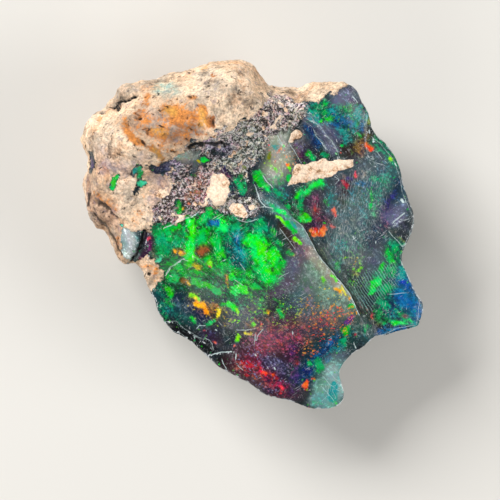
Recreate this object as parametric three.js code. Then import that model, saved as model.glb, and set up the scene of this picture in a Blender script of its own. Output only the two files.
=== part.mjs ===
// Rough black opal: one loose stone, broken from its nodule, lying on its flat back with the play-of-colour
// face up. The upper left is a rounded crust of pale host rock; the rest is dark glassy opal with shell-like
// fractures. Units are millimetres: +X is right and +Y up across the face, and +Z rises from the surface that
// the stone rests on.
import * as THREE from "three";
import { ImprovedNoise } from "three/addons/math/ImprovedNoise.js";

// Driving dimensions.
const FACE_HEIGHT = 8.0; // the middle of the face above the resting surface
const FACE_TOP = new THREE.Vector2(-1.5, 2.5); // where the face is highest before its lumps and bowls
const FACE_CURVE = new THREE.Vector2(0.016, 0.018); // how fast it falls away, per mm, along X and Y
const CRUST_RIM = 4.4; // height at which the crust is widest
const BLADE = 0.45; // how far below the face the opal's edge lies
const CRUST_BLEND = 1.5; // rounding where two crust surfaces meet
const OPAL_BLEND = 0.14; // sharp edge where two fractures meet
const LEDGE_WIDTH = 0.34; // half width of the break at a ledge
const HALF_GRID = 24; // cells of the face's grid from its middle to the edge; the edge has 8 times as many
const SIDE_ROWS = 11; // rows of the mesh from the edge of the face down to the base
const SIDE_CROWDING = 1.25; // above 1, the rows lie closer together near the face
const RELAX_STEPS = 40; // times that the face's vertices are moved to the middle of their neighbours
const MARK_ROUNDS = 5; // times that vertices are then held to the ledges and the rest relaxed around them
const SETTLE_STEPS = 6; // relaxing steps in each of those rounds
const MARKS_APART = 0.38; // spacing of the marks that hold vertices to the ledges
const MARK_REACH = 0.5; // how far a vertex may be moved to a mark
const LEDGE_LIP = 0.8; // how far out the lips of a ledge lie, as a share of its half width
const LEDGE_PULL = 1.2; // how much closer the vertices lie along a ledge than elsewhere on the face
const OUTSIDE = 16; // a distance from the middle that is outside the stone everywhere
const CAST_STEP = 0.25; // how finely a ray is searched for the surface
const CAST_HALVINGS = 12; // times that the step which crosses it is then halved
const CORE = new THREE.Vector3(0, 0, 4); // the point that the fractures of the underside are measured from

// The stone's edge seen from above, anticlockwise from the tip at the right.
const EDGE = [
  [10.25, -4.65], [10.16, -4.15], [9.75, -3.5], [9.37, -2.55], [9.0, -1.8], [8.96, -1.2],
  [9.35, -0.3], [9.73, 0.8], [9.5, 1.6], [9.05, 2.9], [8.83, 3.83], [8.36, 4.9],
  [7.95, 5.45], [7.29, 5.97], [7.05, 6.6], [6.95, 7.15], [6.5, 7.9], [6.14, 8.66],
  [5.6, 8.99], [5.07, 9.12], [4.23, 9.05], [3.77, 9.08], [3.2, 8.8], [2.6, 8.58],
  [2.09, 8.8], [1.3, 8.91], [0.9, 8.93], [0.4, 9.33], [-0.62, 10.31], [-1.5, 10.54],
  [-2.62, 10.44], [-4.13, 9.96], [-5.93, 9.45], [-7.43, 9.2], [-7.91, 9.08], [-8.45, 8.45],
  [-9.25, 7.55], [-9.94, 6.66], [-10.2, 6.15], [-10.15, 5.4], [-9.92, 4.6], [-10.0, 4.0],
  [-10.2, 3.2], [-10.1, 2.03], [-9.6, 0.72], [-9.0, 0.2], [-8.42, -0.87], [-7.9, -1.7],
  [-7.5, -1.95], [-7.15, -1.88], [-6.9, -2.1], [-6.65, -2.6],
  [-6.35, -3.49], [-6.0, -4.1], [-5.9, -4.6], [-5.45, -5.42], [-4.9, -5.9], [-3.92, -6.5],
  [-2.69, -7.52], [-2.1, -8.06], [-0.8, -8.87], [-0.23, -9.11], [0.27, -9.54], [1.7, -10.04],
  [2.6, -10.3], [3.4, -10.6], [4.6, -10.62], [5.2, -10.4], [5.45, -9.75], [5.28, -9.0],
  [5.2, -8.25], [5.7, -7.55], [6.04, -7.19], [6.6, -6.9], [7.35, -6.2], [7.85, -6.17],
  [8.53, -5.96], [9.6, -5.75], [10.04, -5.58], [10.1, -5.1],
];

// Broad swells (+) and bowls (-) of the face: centre, height, half widths, and how far the first half width
// is turned from +X, in degrees.
const SWELLS = [
  { at: [-4.2, 6.9], height: 2.0, wide: [4.4, 1.9], turn: 17 }, // crown of host rock
  { at: [-1.3, 8.9], height: 0.8, wide: [1.7, 1.3], turn: 0 }, // its nose at the top
  { at: [-8.4, 5.6], height: 0.9, wide: [1.5, 1.6], turn: 0 }, // its left shoulder
  { at: [-7.9, 1.0], height: 0.6, wide: [1.5, 2.6], turn: 15 }, // the arm of crust down the left side
  { at: [5.0, 8.0], height: 0.9, wide: [1.9, 1.1], turn: 0 }, // the knob at the top right
  { at: [2.4, 8.2], height: -0.5, wide: [1.2, 1.0], turn: 0 }, // the saddle beside it
  { at: [1.6, -1.6], height: 0.75, wide: [3.2, 2.8], turn: -45 }, // the opal's swelling middle
  { at: [6.4, -0.6], height: -0.75, wide: [1.8, 3.2], turn: 30 }, // the bowl right of the long ledge
  { at: [-3.6, -4.3], height: -0.85, wide: [3.0, 1.3], turn: -35 }, // the scoop at the lower left
  { at: [3.6, 5.0], height: -0.45, wide: [1.5, 1.1], turn: -50 }, // the hollow under the top right facet
  { at: [3.8, -8.6], height: -0.5, wide: [1.3, 1.6], turn: 0 }, // the thin blade at the bottom
];

// Ledges of the face: the line, with its low side on the right as it is followed, the drop, how far the ground
// stays high and low beside it, and the share of the drop that stands above the ground.
const LEDGES = [
  { // long ledge that ends the swelling middle
    line: [
      [7.6, -7.2], [6.9, -5.4], [6.5, -4.5], [5.9, -3.5], [5.1, -2.5], [4.3, -1.5],
      [3.7, -0.5], [3.0, 0.5], [2.2, 1.25], [1.3, 2.1], [0.5, 2.7],
    ],
    drop: 1.5, high: 1.6, low: 2.4, above: 0.45,
  },
  { // ledge above the lower left scoop
    line: [[-5.8, -1.9], [-4.0, -1.6], [-2.9, -2.1], [-1.9, -2.9], [-1.2, -3.8], [-0.9, -4.9]],
    drop: 0.55, high: 1.2, low: 1.8, above: 0.3,
  },
  { // foot of the crown, where crust gives way to sandy opal
    line: [
      [-7.4, 3.4], [-5.4, 4.0], [-4.3, 4.3], [-3.3, 4.9], [-2.3, 5.6], [-1.3, 6.1],
      [-0.5, 6.9], [0.3, 7.9], [0.9, 8.9],
    ],
    drop: 1.0, high: 1.2, low: 1.6, above: 0.4,
  },
  { // slanting step in the top right
    line: [[1.9, 7.6], [2.7, 7.2], [3.7, 6.4], [4.6, 5.5], [5.1, 4.5], [5.3, 3.6]],
    drop: 0.7, high: 1.0, low: 1.2, above: 0.5,
  },
  { // edge of the sandy shelf above the middle
    line: [
      [-6.2, 0.3], [-4.9, 1.0], [-3.4, 1.5], [-2.0, 1.7], [-1.0, 2.0], [0.1, 2.9],
      [1.0, 3.2], [1.9, 3.9],
    ],
    drop: 0.45, high: 0.9, low: 0.9, above: 0.6,
  },
];

// Open cracks: the line, depth and half width.
const CRACKS = [
  { line: [[-9.3, 7.15], [-8.5, 7.75], [-7.6, 8.1], [-6.9, 8.45]], depth: 0.7, half: 0.36 }, // top left flap
  { line: [[-7.15, -1.9], [-6.9, -1.1], [-6.5, -0.4]], depth: 0.4, half: 0.4 }, // beside the left arm
];

// Fractures of the sides and underside: heading and dip of the outward direction in degrees, how far out from
// CORE each one is at CORE's height, and the radius of the hollow it scoops, or 0 for a flat break.
const FRACTURES = [
  { heading: 8, dip: 30, rim: 10.6, scoop: 12 },
  { heading: -26, dip: 58, rim: 11.6, scoop: 16 },
  { heading: 47, dip: 27, rim: 10.2, scoop: 17 },
  { heading: 38, dip: 62, rim: 10.4, scoop: 0 },
  { heading: 84, dip: 40, rim: 9.9, scoop: 22 },
  { heading: 112, dip: 54, rim: 11.4, scoop: 0 },
  { heading: 148, dip: 44, rim: 12.2, scoop: 0 },
  { heading: 182, dip: 52, rim: 11.6, scoop: 26 },
  { heading: 216, dip: 22, rim: 8.9, scoop: 12 },
  { heading: 228, dip: 55, rim: 9.0, scoop: 0 },
  { heading: 252, dip: 34, rim: 9.6, scoop: 14 },
  { heading: 286, dip: 60, rim: 11.8, scoop: 18 },
  { heading: 312, dip: 32, rim: 9.6, scoop: 9 },
];

const noise = new ImprovedNoise();
const degrees = THREE.MathUtils.degToRad;
const smooth = THREE.MathUtils.smoothstep;
const mix = THREE.MathUtils.lerp;

// The larger of two distances, rounded over where they are within `blend` of each other.
function roundedMax(a, b, blend) {
  const near = Math.max(blend - Math.abs(a - b), 0) / blend;
  return Math.max(a, b) + (near * near * blend) / 4;
}

// Nearest point of an open line: its distance, the side (+1 on the right), and how far along it lies, 0 to 1.
function alongLine(line, x, y) {
  let best = { distance: Infinity, side: 1, along: 0 };
  for (let i = 0; i < line.length - 1; i++) {
    const [ax, ay] = line[i];
    const dx = line[i + 1][0] - ax;
    const dy = line[i + 1][1] - ay;
    const t = THREE.MathUtils.clamp(((x - ax) * dx + (y - ay) * dy) / (dx * dx + dy * dy), 0, 1);
    const distance = Math.hypot(x - ax - t * dx, y - ay - t * dy);
    if (distance < best.distance) {
      const side = dx * (y - ay) - dy * (x - ax) > 0 ? -1 : 1;
      best = { distance, side, along: (i + t) / (line.length - 1) };
    }
  }
  return best;
}

// The edge as a closed curve of short segments, with the signed distance from it, negative inside the stone.
const edgeCorners = EDGE.map(([x, y]) => new THREE.Vector3(x, y, 0));
const edgeCurve = new THREE.CatmullRomCurve3(edgeCorners, true, "centripetal");
const edgePoints = edgeCurve.getPoints(3 * EDGE.length);
function edgeDistance(x, y) {
  let nearest = Infinity;
  let inside = false;
  for (let i = 0, j = edgePoints.length - 1; i < edgePoints.length; j = i++) {
    const a = edgePoints[j];
    const b = edgePoints[i];
    const dx = b.x - a.x;
    const dy = b.y - a.y;
    const length2 = dx * dx + dy * dy || 1;
    const t = THREE.MathUtils.clamp(((x - a.x) * dx + (y - a.y) * dy) / length2, 0, 1);
    nearest = Math.min(nearest, (x - a.x - t * dx) ** 2 + (y - a.y - t * dy) ** 2);
    if (a.y > y !== b.y > y && x < (dx * (y - a.y)) / dy + a.x) inside = !inside;
  }
  return Math.sqrt(nearest) * (inside ? -1 : 1);
}

// How far a point belongs to the crust, 1, or to the opal, 0. The crust caps the upper left of the stone.
function crustShare(x, y, z) {
  const across = -0.62 * x + 0.72 * y - 0.12 * z;
  return smooth(across + 0.7 * noise.noise(0.3 * x, 0.3 * y, 0.3 * z), 1.2, 4.8);
}

function swell({ at, height, wide, turn }, x, y) {
  const c = Math.cos(degrees(turn));
  const s = Math.sin(degrees(turn));
  const u = ((x - at[0]) * c + (y - at[1]) * s) / wide[0];
  const v = ((y - at[1]) * c - (x - at[0]) * s) / wide[1];
  return height * Math.exp(-0.5 * (u * u + v * v));
}

function ledge({ line, drop, high, low, above }, x, y) {
  const { distance, side, along } = alongLine(line, x, y);
  const strength = drop * Math.sin(Math.PI * along) ** 0.7;
  const up = above * Math.exp(-distance / high);
  const down = (above - 1) * Math.exp(-distance / low);
  return strength * mix(up, down, smooth(side * distance, -LEDGE_WIDTH, LEDGE_WIDTH));
}

function crack({ line, depth, half }, x, y) {
  const { distance } = alongLine(line, x, y);
  return -depth * Math.exp(-((distance / half) ** 2));
}

// Height of the face above the resting surface.
function faceHeight(x, y) {
  let height = FACE_HEIGHT - FACE_CURVE.x * (x - FACE_TOP.x) ** 2 - FACE_CURVE.y * (y - FACE_TOP.y) ** 2;
  for (const s of SWELLS) height += swell(s, x, y);
  for (const l of LEDGES) height += ledge(l, x, y);
  for (const c of CRACKS) height += crack(c, x, y);
  return height;
}

// The hollow or flat that a fracture cuts, as a distance that is positive outside the stone.
const cuts = FRACTURES.map(({ heading, dip, rim, scoop }) => {
  const level = Math.cos(degrees(dip));
  const outward = new THREE.Vector3(
    Math.cos(degrees(heading)) * level,
    Math.sin(degrees(heading)) * level,
    -Math.sin(degrees(dip)),
  );
  const centre = CORE.clone().addScaledVector(outward, rim * level + scoop);
  return (p) => (scoop ? scoop - p.distanceTo(centre) : p.clone().sub(centre).dot(outward));
});

// Signed distance from the stone's surface, positive outside.
function stone(p) {
  const { x, y, z } = p;
  const crust = crustShare(x, y, z);
  const blend = mix(OPAL_BLEND, CRUST_BLEND, crust);
  const face = faceHeight(x, y);
  const rim = mix(face - BLADE, CRUST_RIM, crust);
  const below = Math.max(rim - z, 0);
  const overhang = mix(0.5 * below, 0.05 * below * below, crust);
  let d = roundedMax(z - face, edgeDistance(x, y) + overhang, mix(OPAL_BLEND, 2 * CRUST_BLEND, crust));
  for (const cut of cuts) d = roundedMax(d, cut(p), blend);
  const lumps = 0.3 * noise.noise(0.42 * x + 7, 0.42 * y, 0.42 * z);
  const knobs = 0.14 * noise.noise(1.1 * x, 1.1 * y + 5, 1.1 * z);
  const ripples = 0.07 * noise.noise(0.6 * x, 0.6 * y, 0.6 * z + 9);
  return d - mix(ripples, lumps + knobs, crust);
}

// The outermost place on the ray from `from` through `to` that is on the stone's surface.
function castInwards(from, to) {
  const direction = to.clone().sub(from).normalize();
  const at = (distance) => from.clone().addScaledVector(direction, distance);
  let outer = OUTSIDE;
  while (outer > CAST_STEP && stone(at(outer - CAST_STEP)) > 0) outer -= CAST_STEP;
  let inner = outer - CAST_STEP;
  for (let i = 0; i < CAST_HALVINGS; i++) {
    const middle = (outer + inner) / 2;
    if (stone(at(middle)) > 0) outer = middle;
    else inner = middle;
  }
  return at(inner);
}

// Places along a line, at each of the offsets to its right, that vertices of the face are to be held at.
function marksAlong(line, offsets) {
  const marks = [];
  for (let i = 0; i < line.length - 1; i++) {
    const [ax, ay] = line[i];
    const [bx, by] = line[i + 1];
    const length = Math.hypot(bx - ax, by - ay);
    const count = Math.max(Math.round(length / MARKS_APART), 1);
    for (let k = 0; k < count; k++) {
      const x = mix(ax, bx, k / count);
      const y = mix(ay, by, k / count);
      for (const o of offsets) marks.push([x + (o * (by - ay)) / length, y - (o * (bx - ax)) / length]);
    }
  }
  return marks;
}

// The rim where the face ends, anticlockwise, in vertical planes through the core and places on the edge.
function rimPoints(count) {
  return edgeCurve.getSpacedPoints(count).slice(0, count).map(({ x, y }) => {
    return castInwards(CORE, new THREE.Vector3(x, y, faceHeight(x, y)));
  });
}

// A square grid drawn onto the face, ring by ring from its middle, with its neighbours and cells.
function faceGrid(rim) {
  const side = 2 * HALF_GRID + 1;
  const points = [];
  const onRim = [];
  for (let row = 0; row < side; row++) {
    for (let column = 0; column < side; column++) {
      const right = column - HALF_GRID;
      const up = row - HALF_GRID;
      const ring = Math.max(Math.abs(right), Math.abs(up));
      let along = 0; // steps around the square ring, anticlockwise from the middle of its right side
      if (ring > 0 && right === ring) along = up;
      else if (ring > 0 && up === ring) along = 2 * ring - right;
      else if (ring > 0 && right === -ring) along = 4 * ring - up;
      else if (ring > 0) along = 6 * ring + right;
      const place = ring ? (((along / (8 * ring)) % 1) + 1) % 1 : 0;
      const spot = place * rim.length;
      const a = rim[Math.floor(spot) % rim.length];
      const b = rim[Math.ceil(spot) % rim.length];
      const share = ring / HALF_GRID;
      points.push(new THREE.Vector2(mix(a.x, b.x, spot % 1) * share, mix(a.y, b.y, spot % 1) * share));
      if (ring === HALF_GRID) onRim[Math.round(spot) % rim.length] = points.length - 1;
    }
  }
  return { points, onRim, side };
}

// Moves each vertex that isn't held towards the middle of its four neighbours, more strongly along ledges.
function relax(points, side, held, steps) {
  for (let step = 0; step < steps; step++) {
    const pulls = points.map(({ x, y }) => {
      const nearest = Math.min(...LEDGES.map(({ line }) => alongLine(line, x, y).distance));
      return 1 + LEDGE_PULL * Math.exp(-((nearest / (2 * LEDGE_WIDTH)) ** 2));
    });
    const moved = points.map((p, i) => {
      if (held.has(i)) return p;
      const middle = new THREE.Vector2();
      let total = 0;
      for (const n of [i - 1, i + 1, i - side, i + side]) {
        middle.addScaledVector(points[n], pulls[n]);
        total += pulls[n];
      }
      return middle.divideScalar(total).lerp(p, 0.3);
    });
    moved.forEach((p, i) => points[i].copy(p));
  }
}

// Moves the nearest free vertex to each mark on the lips of the ledges, and adds it to `held`.
function holdAtLedges(points, held) {
  const lip = LEDGE_LIP * LEDGE_WIDTH;
  const marks = LEDGES.flatMap(({ line }) => marksAlong(line, [-lip, lip]));
  for (const [x, y] of marks.filter((mark) => edgeDistance(...mark) < -MARK_REACH)) {
    let nearest = -1;
    let least = MARK_REACH;
    points.forEach((p, i) => {
      const distance = Math.hypot(p.x - x, p.y - y);
      if (distance < least && !held.has(i)) {
        least = distance;
        nearest = i;
      }
    });
    if (nearest >= 0) {
      points[nearest].set(x, y);
      held.add(nearest);
    }
  }
}

// Adds the two triangles of a cell with corners a, b, c, d in order, split along its shorter diagonal.
function addCell(faces, corners, a, b, c, d) {
  if (corners[a].distanceTo(corners[c]) < corners[b].distanceTo(corners[d])) faces.push(a, b, c, a, c, d);
  else faces.push(a, b, d, b, c, d);
}

// The stone's whole skin: the face's grid, rows down the side to the flat base, and the base.
function skin() {
  const rim = rimPoints(8 * HALF_GRID);
  const { points, onRim, side } = faceGrid(rim);
  const rimSet = new Set(onRim);
  relax(points, side, rimSet, RELAX_STEPS);
  for (let round = 0; round < MARK_ROUNDS; round++) {
    const held = new Set(rimSet);
    holdAtLedges(points, held);
    relax(points, side, held, SETTLE_STEPS);
  }
  const corners = points.map(({ x, y }) => {
    return castInwards(new THREE.Vector3(x, y, 0), new THREE.Vector3(x, y, 1));
  });
  onRim.forEach((corner, i) => corners[corner].copy(rim[i]));
  const faces = [];
  for (let row = 0; row < side - 1; row++) {
    for (let column = 0; column < side - 1; column++) {
      const a = row * side + column;
      addCell(faces, corners, a, a + 1, a + side + 1, a + side);
    }
  }
  let above = onRim;
  for (let row = 1; row <= SIDE_ROWS; row++) {
    const down = (row / SIDE_ROWS) ** SIDE_CROWDING;
    const below = rim.map(({ x, y, z }) => {
      const level = z * (1 - down);
      const corner = castInwards(new THREE.Vector3(0, 0, level), new THREE.Vector3(x, y, level));
      return corners.push(corner) - 1;
    });
    for (let i = 0; i < rim.length; i++) {
      const next = (i + 1) % rim.length;
      addCell(faces, corners, below[i], below[next], above[next], above[i]);
    }
    above = below;
  }
  const base = corners.push(new THREE.Vector3()) - 1;
  above.forEach((corner, i) => faces.push(corner, base, above[(i + 1) % above.length]));
  return { corners, faces };
}

const { corners, faces } = skin();
const geometry = new THREE.BufferGeometry().setFromPoints(corners);
geometry.setIndex(faces);
geometry.computeBoundingBox();
const middle = geometry.boundingBox.getCenter(new THREE.Vector3());
geometry.translate(-middle.x, -middle.y, 0);
geometry.computeVertexNormals();

const stoneMesh = new THREE.Mesh(
  geometry,
  new THREE.MeshStandardMaterial({ color: 0x2c3a3e, roughness: 0.25, metalness: 0 }),
);
stoneMesh.name = "rough_black_opal";

const group = new THREE.Group();
group.add(stoneMesh);
export default group;
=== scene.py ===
"""Dresses a rough black opal: one broken stone, part sandy host rock and part dark, colourful opal.

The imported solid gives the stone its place, size and main ledges. A fine copy of it is roughened here, its
patches of rock, sand and colour are marked on its points, and one material turns those marks into grain.
"""

import logging
import math
from dataclasses import dataclass, fields
from enum import Enum
from typing import Iterator, TypeVar

import bmesh
import bpy
import numpy as np
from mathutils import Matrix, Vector, noise

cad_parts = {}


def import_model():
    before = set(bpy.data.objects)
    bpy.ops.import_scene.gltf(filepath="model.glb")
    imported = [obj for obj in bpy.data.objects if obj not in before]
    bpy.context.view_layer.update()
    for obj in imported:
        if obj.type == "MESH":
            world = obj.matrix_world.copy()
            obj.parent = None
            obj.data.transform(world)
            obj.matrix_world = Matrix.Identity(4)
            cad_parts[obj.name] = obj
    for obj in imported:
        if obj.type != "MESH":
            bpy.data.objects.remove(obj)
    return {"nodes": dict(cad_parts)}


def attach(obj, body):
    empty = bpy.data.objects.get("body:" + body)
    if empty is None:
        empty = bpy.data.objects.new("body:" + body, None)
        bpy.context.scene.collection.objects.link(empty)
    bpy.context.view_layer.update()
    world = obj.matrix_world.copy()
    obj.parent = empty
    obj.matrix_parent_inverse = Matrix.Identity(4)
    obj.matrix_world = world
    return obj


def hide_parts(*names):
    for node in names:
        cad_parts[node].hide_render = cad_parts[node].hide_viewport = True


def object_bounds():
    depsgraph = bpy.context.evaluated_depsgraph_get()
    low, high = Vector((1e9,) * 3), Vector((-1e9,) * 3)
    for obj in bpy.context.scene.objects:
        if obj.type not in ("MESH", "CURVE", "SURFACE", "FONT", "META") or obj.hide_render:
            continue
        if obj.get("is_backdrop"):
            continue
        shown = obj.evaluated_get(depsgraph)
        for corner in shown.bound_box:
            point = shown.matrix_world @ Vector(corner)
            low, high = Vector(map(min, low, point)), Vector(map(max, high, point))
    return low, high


log = logging.getLogger("rough_black_opal")

MM = 0.001
NODE_NAME = "rough_black_opal"
PIECE_NAME = "black_opal_stone"
# Stands in for lengths too short to divide by.
TINY = 1e-9

Point = tuple[float, float]
Path = tuple[Point, ...]
Range = tuple[float, float]
# Rows of lumps, each with its width and height.
Lumps = tuple[tuple[float, float], ...]
Light = tuple[float, float, float, float]
Socket = bpy.types.NodeSocket


class Hue(Enum):
    """The stone's colours, as sRGB hex."""

    SLATE = "#303F47"
    TEAL_GREY = "#3C6C72"
    SMOKE = "#262F33"
    # Painted shade in cracks and pits, and the darkest opal.
    NEAR_BLACK = "#0B0E10"
    STONE_GREY = "#666E78"
    HAZE_GREEN = "#7A9C88"
    HAZE_GREY = "#5F7C80"
    PALE_TEAL = "#86BDB4"
    PASTEL = "#C4C8B0"
    BLUSH = "#A5827C"
    LAVENDER = "#75709A"
    LAVENDER_GREY = "#8284A2"
    MAUVE = "#6B5870"
    PLUM = "#3B1F3C"
    MAROON = "#6A2438"
    BROWN = "#3D2B24"
    DEEP_GREEN = "#0A5A2C"
    DEEP_TEAL = "#06484C"
    DEEP_BLUE = "#0C2F66"
    NIGHT = "#1E2148"
    GREEN = "#00B022"
    BRIGHT_GREEN = "#06D812"
    EMERALD = "#009A50"
    MINT = "#3CC890"
    LIME = "#7CDC08"
    YELLOW = "#DCCB18"
    AMBER = "#EE9A10"
    ORANGE = "#EE6A22"
    RUST = "#8E5228"
    ROSE = "#B84C68"
    CORAL = "#E0484E"
    RED = "#EC1C22"
    CRIMSON = "#A81244"
    MAGENTA = "#7E1460"
    VIOLET = "#552878"
    INDIGO = "#2A2C72"
    BLUE = "#0E4AA6"
    AZURE = "#08699A"
    TEAL = "#108E86"
    OLIVE = "#6E7A14"
    GLASS_WHITE = "#DDE2E4"
    # Pale chips and scratches, and painted highlights on glassy edges.
    CHIP_AND_GLINT_WHITE = "#C6D8D8"
    CREAM = "#EBD3BA"
    SAND = "#D4B797"
    SAND_LIGHT = "#E8D0B4"
    SAND_GREY = "#978D7F"
    SAND_BROWN = "#9C7650"
    ROCK_ROSE = "#DDB89A"
    STAIN = "#BF7630"
    STAIN_YELLOW = "#CC953C"
    STAIN_DEEP = "#8A4A1C"
    # Painted shade in the crust's pits.
    PIT_SHADE = "#241E1C"
    GRAIN_BROWN = "#6A4E40"
    GRAIN_MAUVE = "#857681"
    SAND_MIX = "#6E6562"
    SAND_MIX_PALE = "#958A82"
    SAND_MIX_PLUM = "#6A4B4E"
    SAND_MIX_GREEN = "#71786C"
    FLOOR = "#CFCCC6"


# A colour ramp's places, each with a hue or a grey value.
Stops = tuple[tuple[float, Hue | float], ...]


def linear(hue: Hue) -> Light:
    """Turns a colour's sRGB hex into linear light.

    Args:
        hue: The colour.

    Returns:
        Red, green, blue and an alpha of 1.
    """
    text = hue.value.lstrip("#")
    parts = [int(text[i:i + 2], 16) / 255 for i in (0, 2, 4)]
    light = [c / 12.92 if c <= 0.04045 else ((c + 0.055) / 1.055) ** 2.4 for c in parts]
    return (light[0], light[1], light[2], 1.0)


def shade(hue: Hue) -> np.ndarray:
    """A colour's linear red, green and blue."""
    return np.array(linear(hue)[:3])


def ease(values: np.ndarray, start: float, end: float) -> np.ndarray:
    """Rises smoothly from 0 at start to 1 at end, or falls where end is the smaller."""
    t = np.clip((values - start) / (end - start), 0.0, 1.0)
    return t * t * (3 - 2 * t)


def ripple(places: np.ndarray, width: float, octaves: int = 3, seed: int = 0) -> np.ndarray:
    """Smooth noise over the stone.

    Args:
        places: Points in millimetres, one row each.
        width: The size of the largest lumps in millimetres.
        octaves: How many finer layers are added.
        seed: Picks another noise of the same kind.

    Returns:
        About -1 to 1 for each point.
    """
    shift = Vector((7.1 * seed, -3.3 * seed, 5.7 * seed))
    scaled = places / width
    return np.array([noise.fractal(Vector(p) + shift, 0.9, 2.0, octaves) for p in scaled])


def along_path(plan: np.ndarray, path: Path) -> tuple[np.ndarray, np.ndarray, np.ndarray]:
    """Measures points of the plan against a drawn line.

    Args:
        plan: Points in plan, in millimetres.
        path: The line's corners; one corner makes a dot.

    Returns:
        Distance to the line, the same with a sign for its side, and how far a point lies past an end.
    """
    best = np.full(len(plan), 1e9)
    side = np.ones(len(plan))
    past = np.zeros(len(plan))
    corners = np.array(path if len(path) > 1 else path * 2, float)
    last = len(corners) - 2
    for i, (a, b) in enumerate(zip(corners[:-1], corners[1:])):
        run = b - a
        length = max(float(np.hypot(*run)), 1e-6)
        offset = plan - a
        t = (offset @ run) / length ** 2
        gap = offset - np.clip(t, 0, 1)[:, None] * run
        reach = np.hypot(gap[:, 0], gap[:, 1])
        closer = reach < best
        best = np.where(closer, reach, best)
        turn = run[0] * offset[:, 1] - run[1] * offset[:, 0]
        side = np.where(closer, np.where(turn >= 0, 1.0, -1.0), side)
        over = np.maximum(-t if i == 0 else 0, (t - 1) if i == last else 0) * length
        past = np.where(closer, np.maximum(over, 0), past)
    return best, best * side, past


def inside_outline(plan: np.ndarray, outline: Path) -> np.ndarray:
    """Signed distance to a closed outline.

    Args:
        plan: Points in plan, in millimetres.
        outline: The outline's corners in order.

    Returns:
        Millimetres from the outline, above 0 inside it.
    """
    distance, _, _ = along_path(plan, outline + outline[:1])
    inside = np.zeros(len(plan), bool)
    corners = np.array(outline, float)
    for a, b in zip(corners, np.roll(corners, -1, axis=0)):
        spans = (a[1] > plan[:, 1]) != (b[1] > plan[:, 1])
        rise = b[1] - a[1] if abs(b[1] - a[1]) > TINY else TINY
        crossing = a[0] + (plan[:, 1] - a[1]) / rise * (b[0] - a[0])
        inside ^= spans & (plan[:, 0] < crossing)
    return np.where(inside, distance, -distance)


@dataclass(frozen=True)
class Mark:
    """A soft-edged patch or streak of one colour: a line in plan and how far its colour reaches."""

    hue: Hue
    reach: float
    share: float
    path: Path

    def cover(self, plan: np.ndarray, soft: float) -> np.ndarray:
        """How much of the mark lies on each point, its edge as soft as this share of its reach."""
        distance, _, _ = along_path(plan, self.path)
        return self.share * ease(distance, self.reach * (1 + soft), self.reach * (1 - soft))


@dataclass(frozen=True)
class Scratch:
    """A thin line: pale where its light is above 0 (chips, scratches, painted highlights); below 0, painted
    shade.
    """

    half_width: float
    light: float
    path: Path


@dataclass(frozen=True)
class Step:
    """A small cliff in the broken face: the ground to the right of the line is lower."""

    drop: float
    run_out: float
    path: Path


@dataclass(frozen=True)
class Groove:
    """A crack or, with a single point, a round pit."""

    depth: float
    reach: float
    path: Path


Kind = TypeVar("Kind", Mark, Scratch, Step, Groove)


def drawn(kind: type[Kind], *rows: tuple) -> tuple[Kind, ...]:
    """Writes rows, each a kind's own values and then its path, in millimetres."""
    own = len(fields(kind)) - 1
    return tuple(kind(*row[:own], row[own:]) for row in rows)


# Plan outlines of the stone's materials, in millimetres from its middle. They run wide outside the stone.
CRUST: Path = (
    (6.2, 11.0), (6.0, 9.1), (5.5, 8.75), (5.0, 8.35), (4.4, 8.05), (3.6, 7.95), (2.9, 7.9), (2.2, 8.15),
    (1.6, 8.35), (1.0, 8.4), (0.7, 8.0), (0.45, 7.55), (0.0, 7.0), (-0.5, 6.65), (-1.1, 6.35), (-1.7, 6.4),
    (-2.2, 6.25), (-2.2, 5.7), (-2.9, 5.5), (-3.6, 5.35), (-4.0, 5.15), (-4.3, 4.7), (-4.9, 4.45),
    (-5.4, 4.2), (-5.9, 4.15), (-6.1, 3.8), (-5.3, 3.6), (-4.85, 3.3), (-4.85, 2.8), (-5.1, 2.35),
    (-5.5, 2.15), (-5.95, 1.7), (-6.1, 1.2), (-6.0, 0.7), (-6.3, 0.35), (-6.8, 0.3), (-7.2, 0.25),
    (-7.6, 0.5), (-7.9, 0.55), (-8.0, 0.0), (-7.75, -0.5), (-7.7, -1.1), (-7.55, -1.7), (-7.5, -2.4),
    (-11.5, -2.4), (-11.5, 11.0),
)
CRUST_PATCH: Path = (
    (-7.4, -1.6), (-6.7, -1.45), (-6.3, -1.35), (-5.9, -1.35), (-5.65, -1.8), (-5.35, -2.2), (-5.4, -2.6),
    (-5.75, -3.05), (-5.95, -3.5), (-6.4, -3.9), (-7.8, -3.4),
)
SANDY: Path = (
    (0.3, 7.8), (1.1, 8.6), (2.3, 8.4), (3.2, 7.8), (3.3, 7.2), (2.8, 6.9), (2.4, 6.3), (1.6, 6.2),
    (1.0, 5.9), (0.8, 5.2), (0.4, 4.5), (0.1, 4.0), (-0.3, 3.9), (-0.3, 2.9), (0.1, 2.2), (0.5, 1.7),
    (0.2, 1.3), (-0.25, 1.1), (-0.5, 0.95), (-1.1, 1.05), (-1.8, 1.3), (-2.5, 1.6), (-3.2, 1.35),
    (-3.9, 1.0), (-4.8, 0.75), (-5.7, 0.6), (-6.4, 0.8), (-6.4, 2.0), (-5.4, 2.6), (-5.2, 3.8),
    (-4.6, 4.7), (-4.0, 5.3), (-2.6, 5.9), (-2.0, 6.5), (-0.9, 6.7), (-0.2, 7.1),
)
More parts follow.
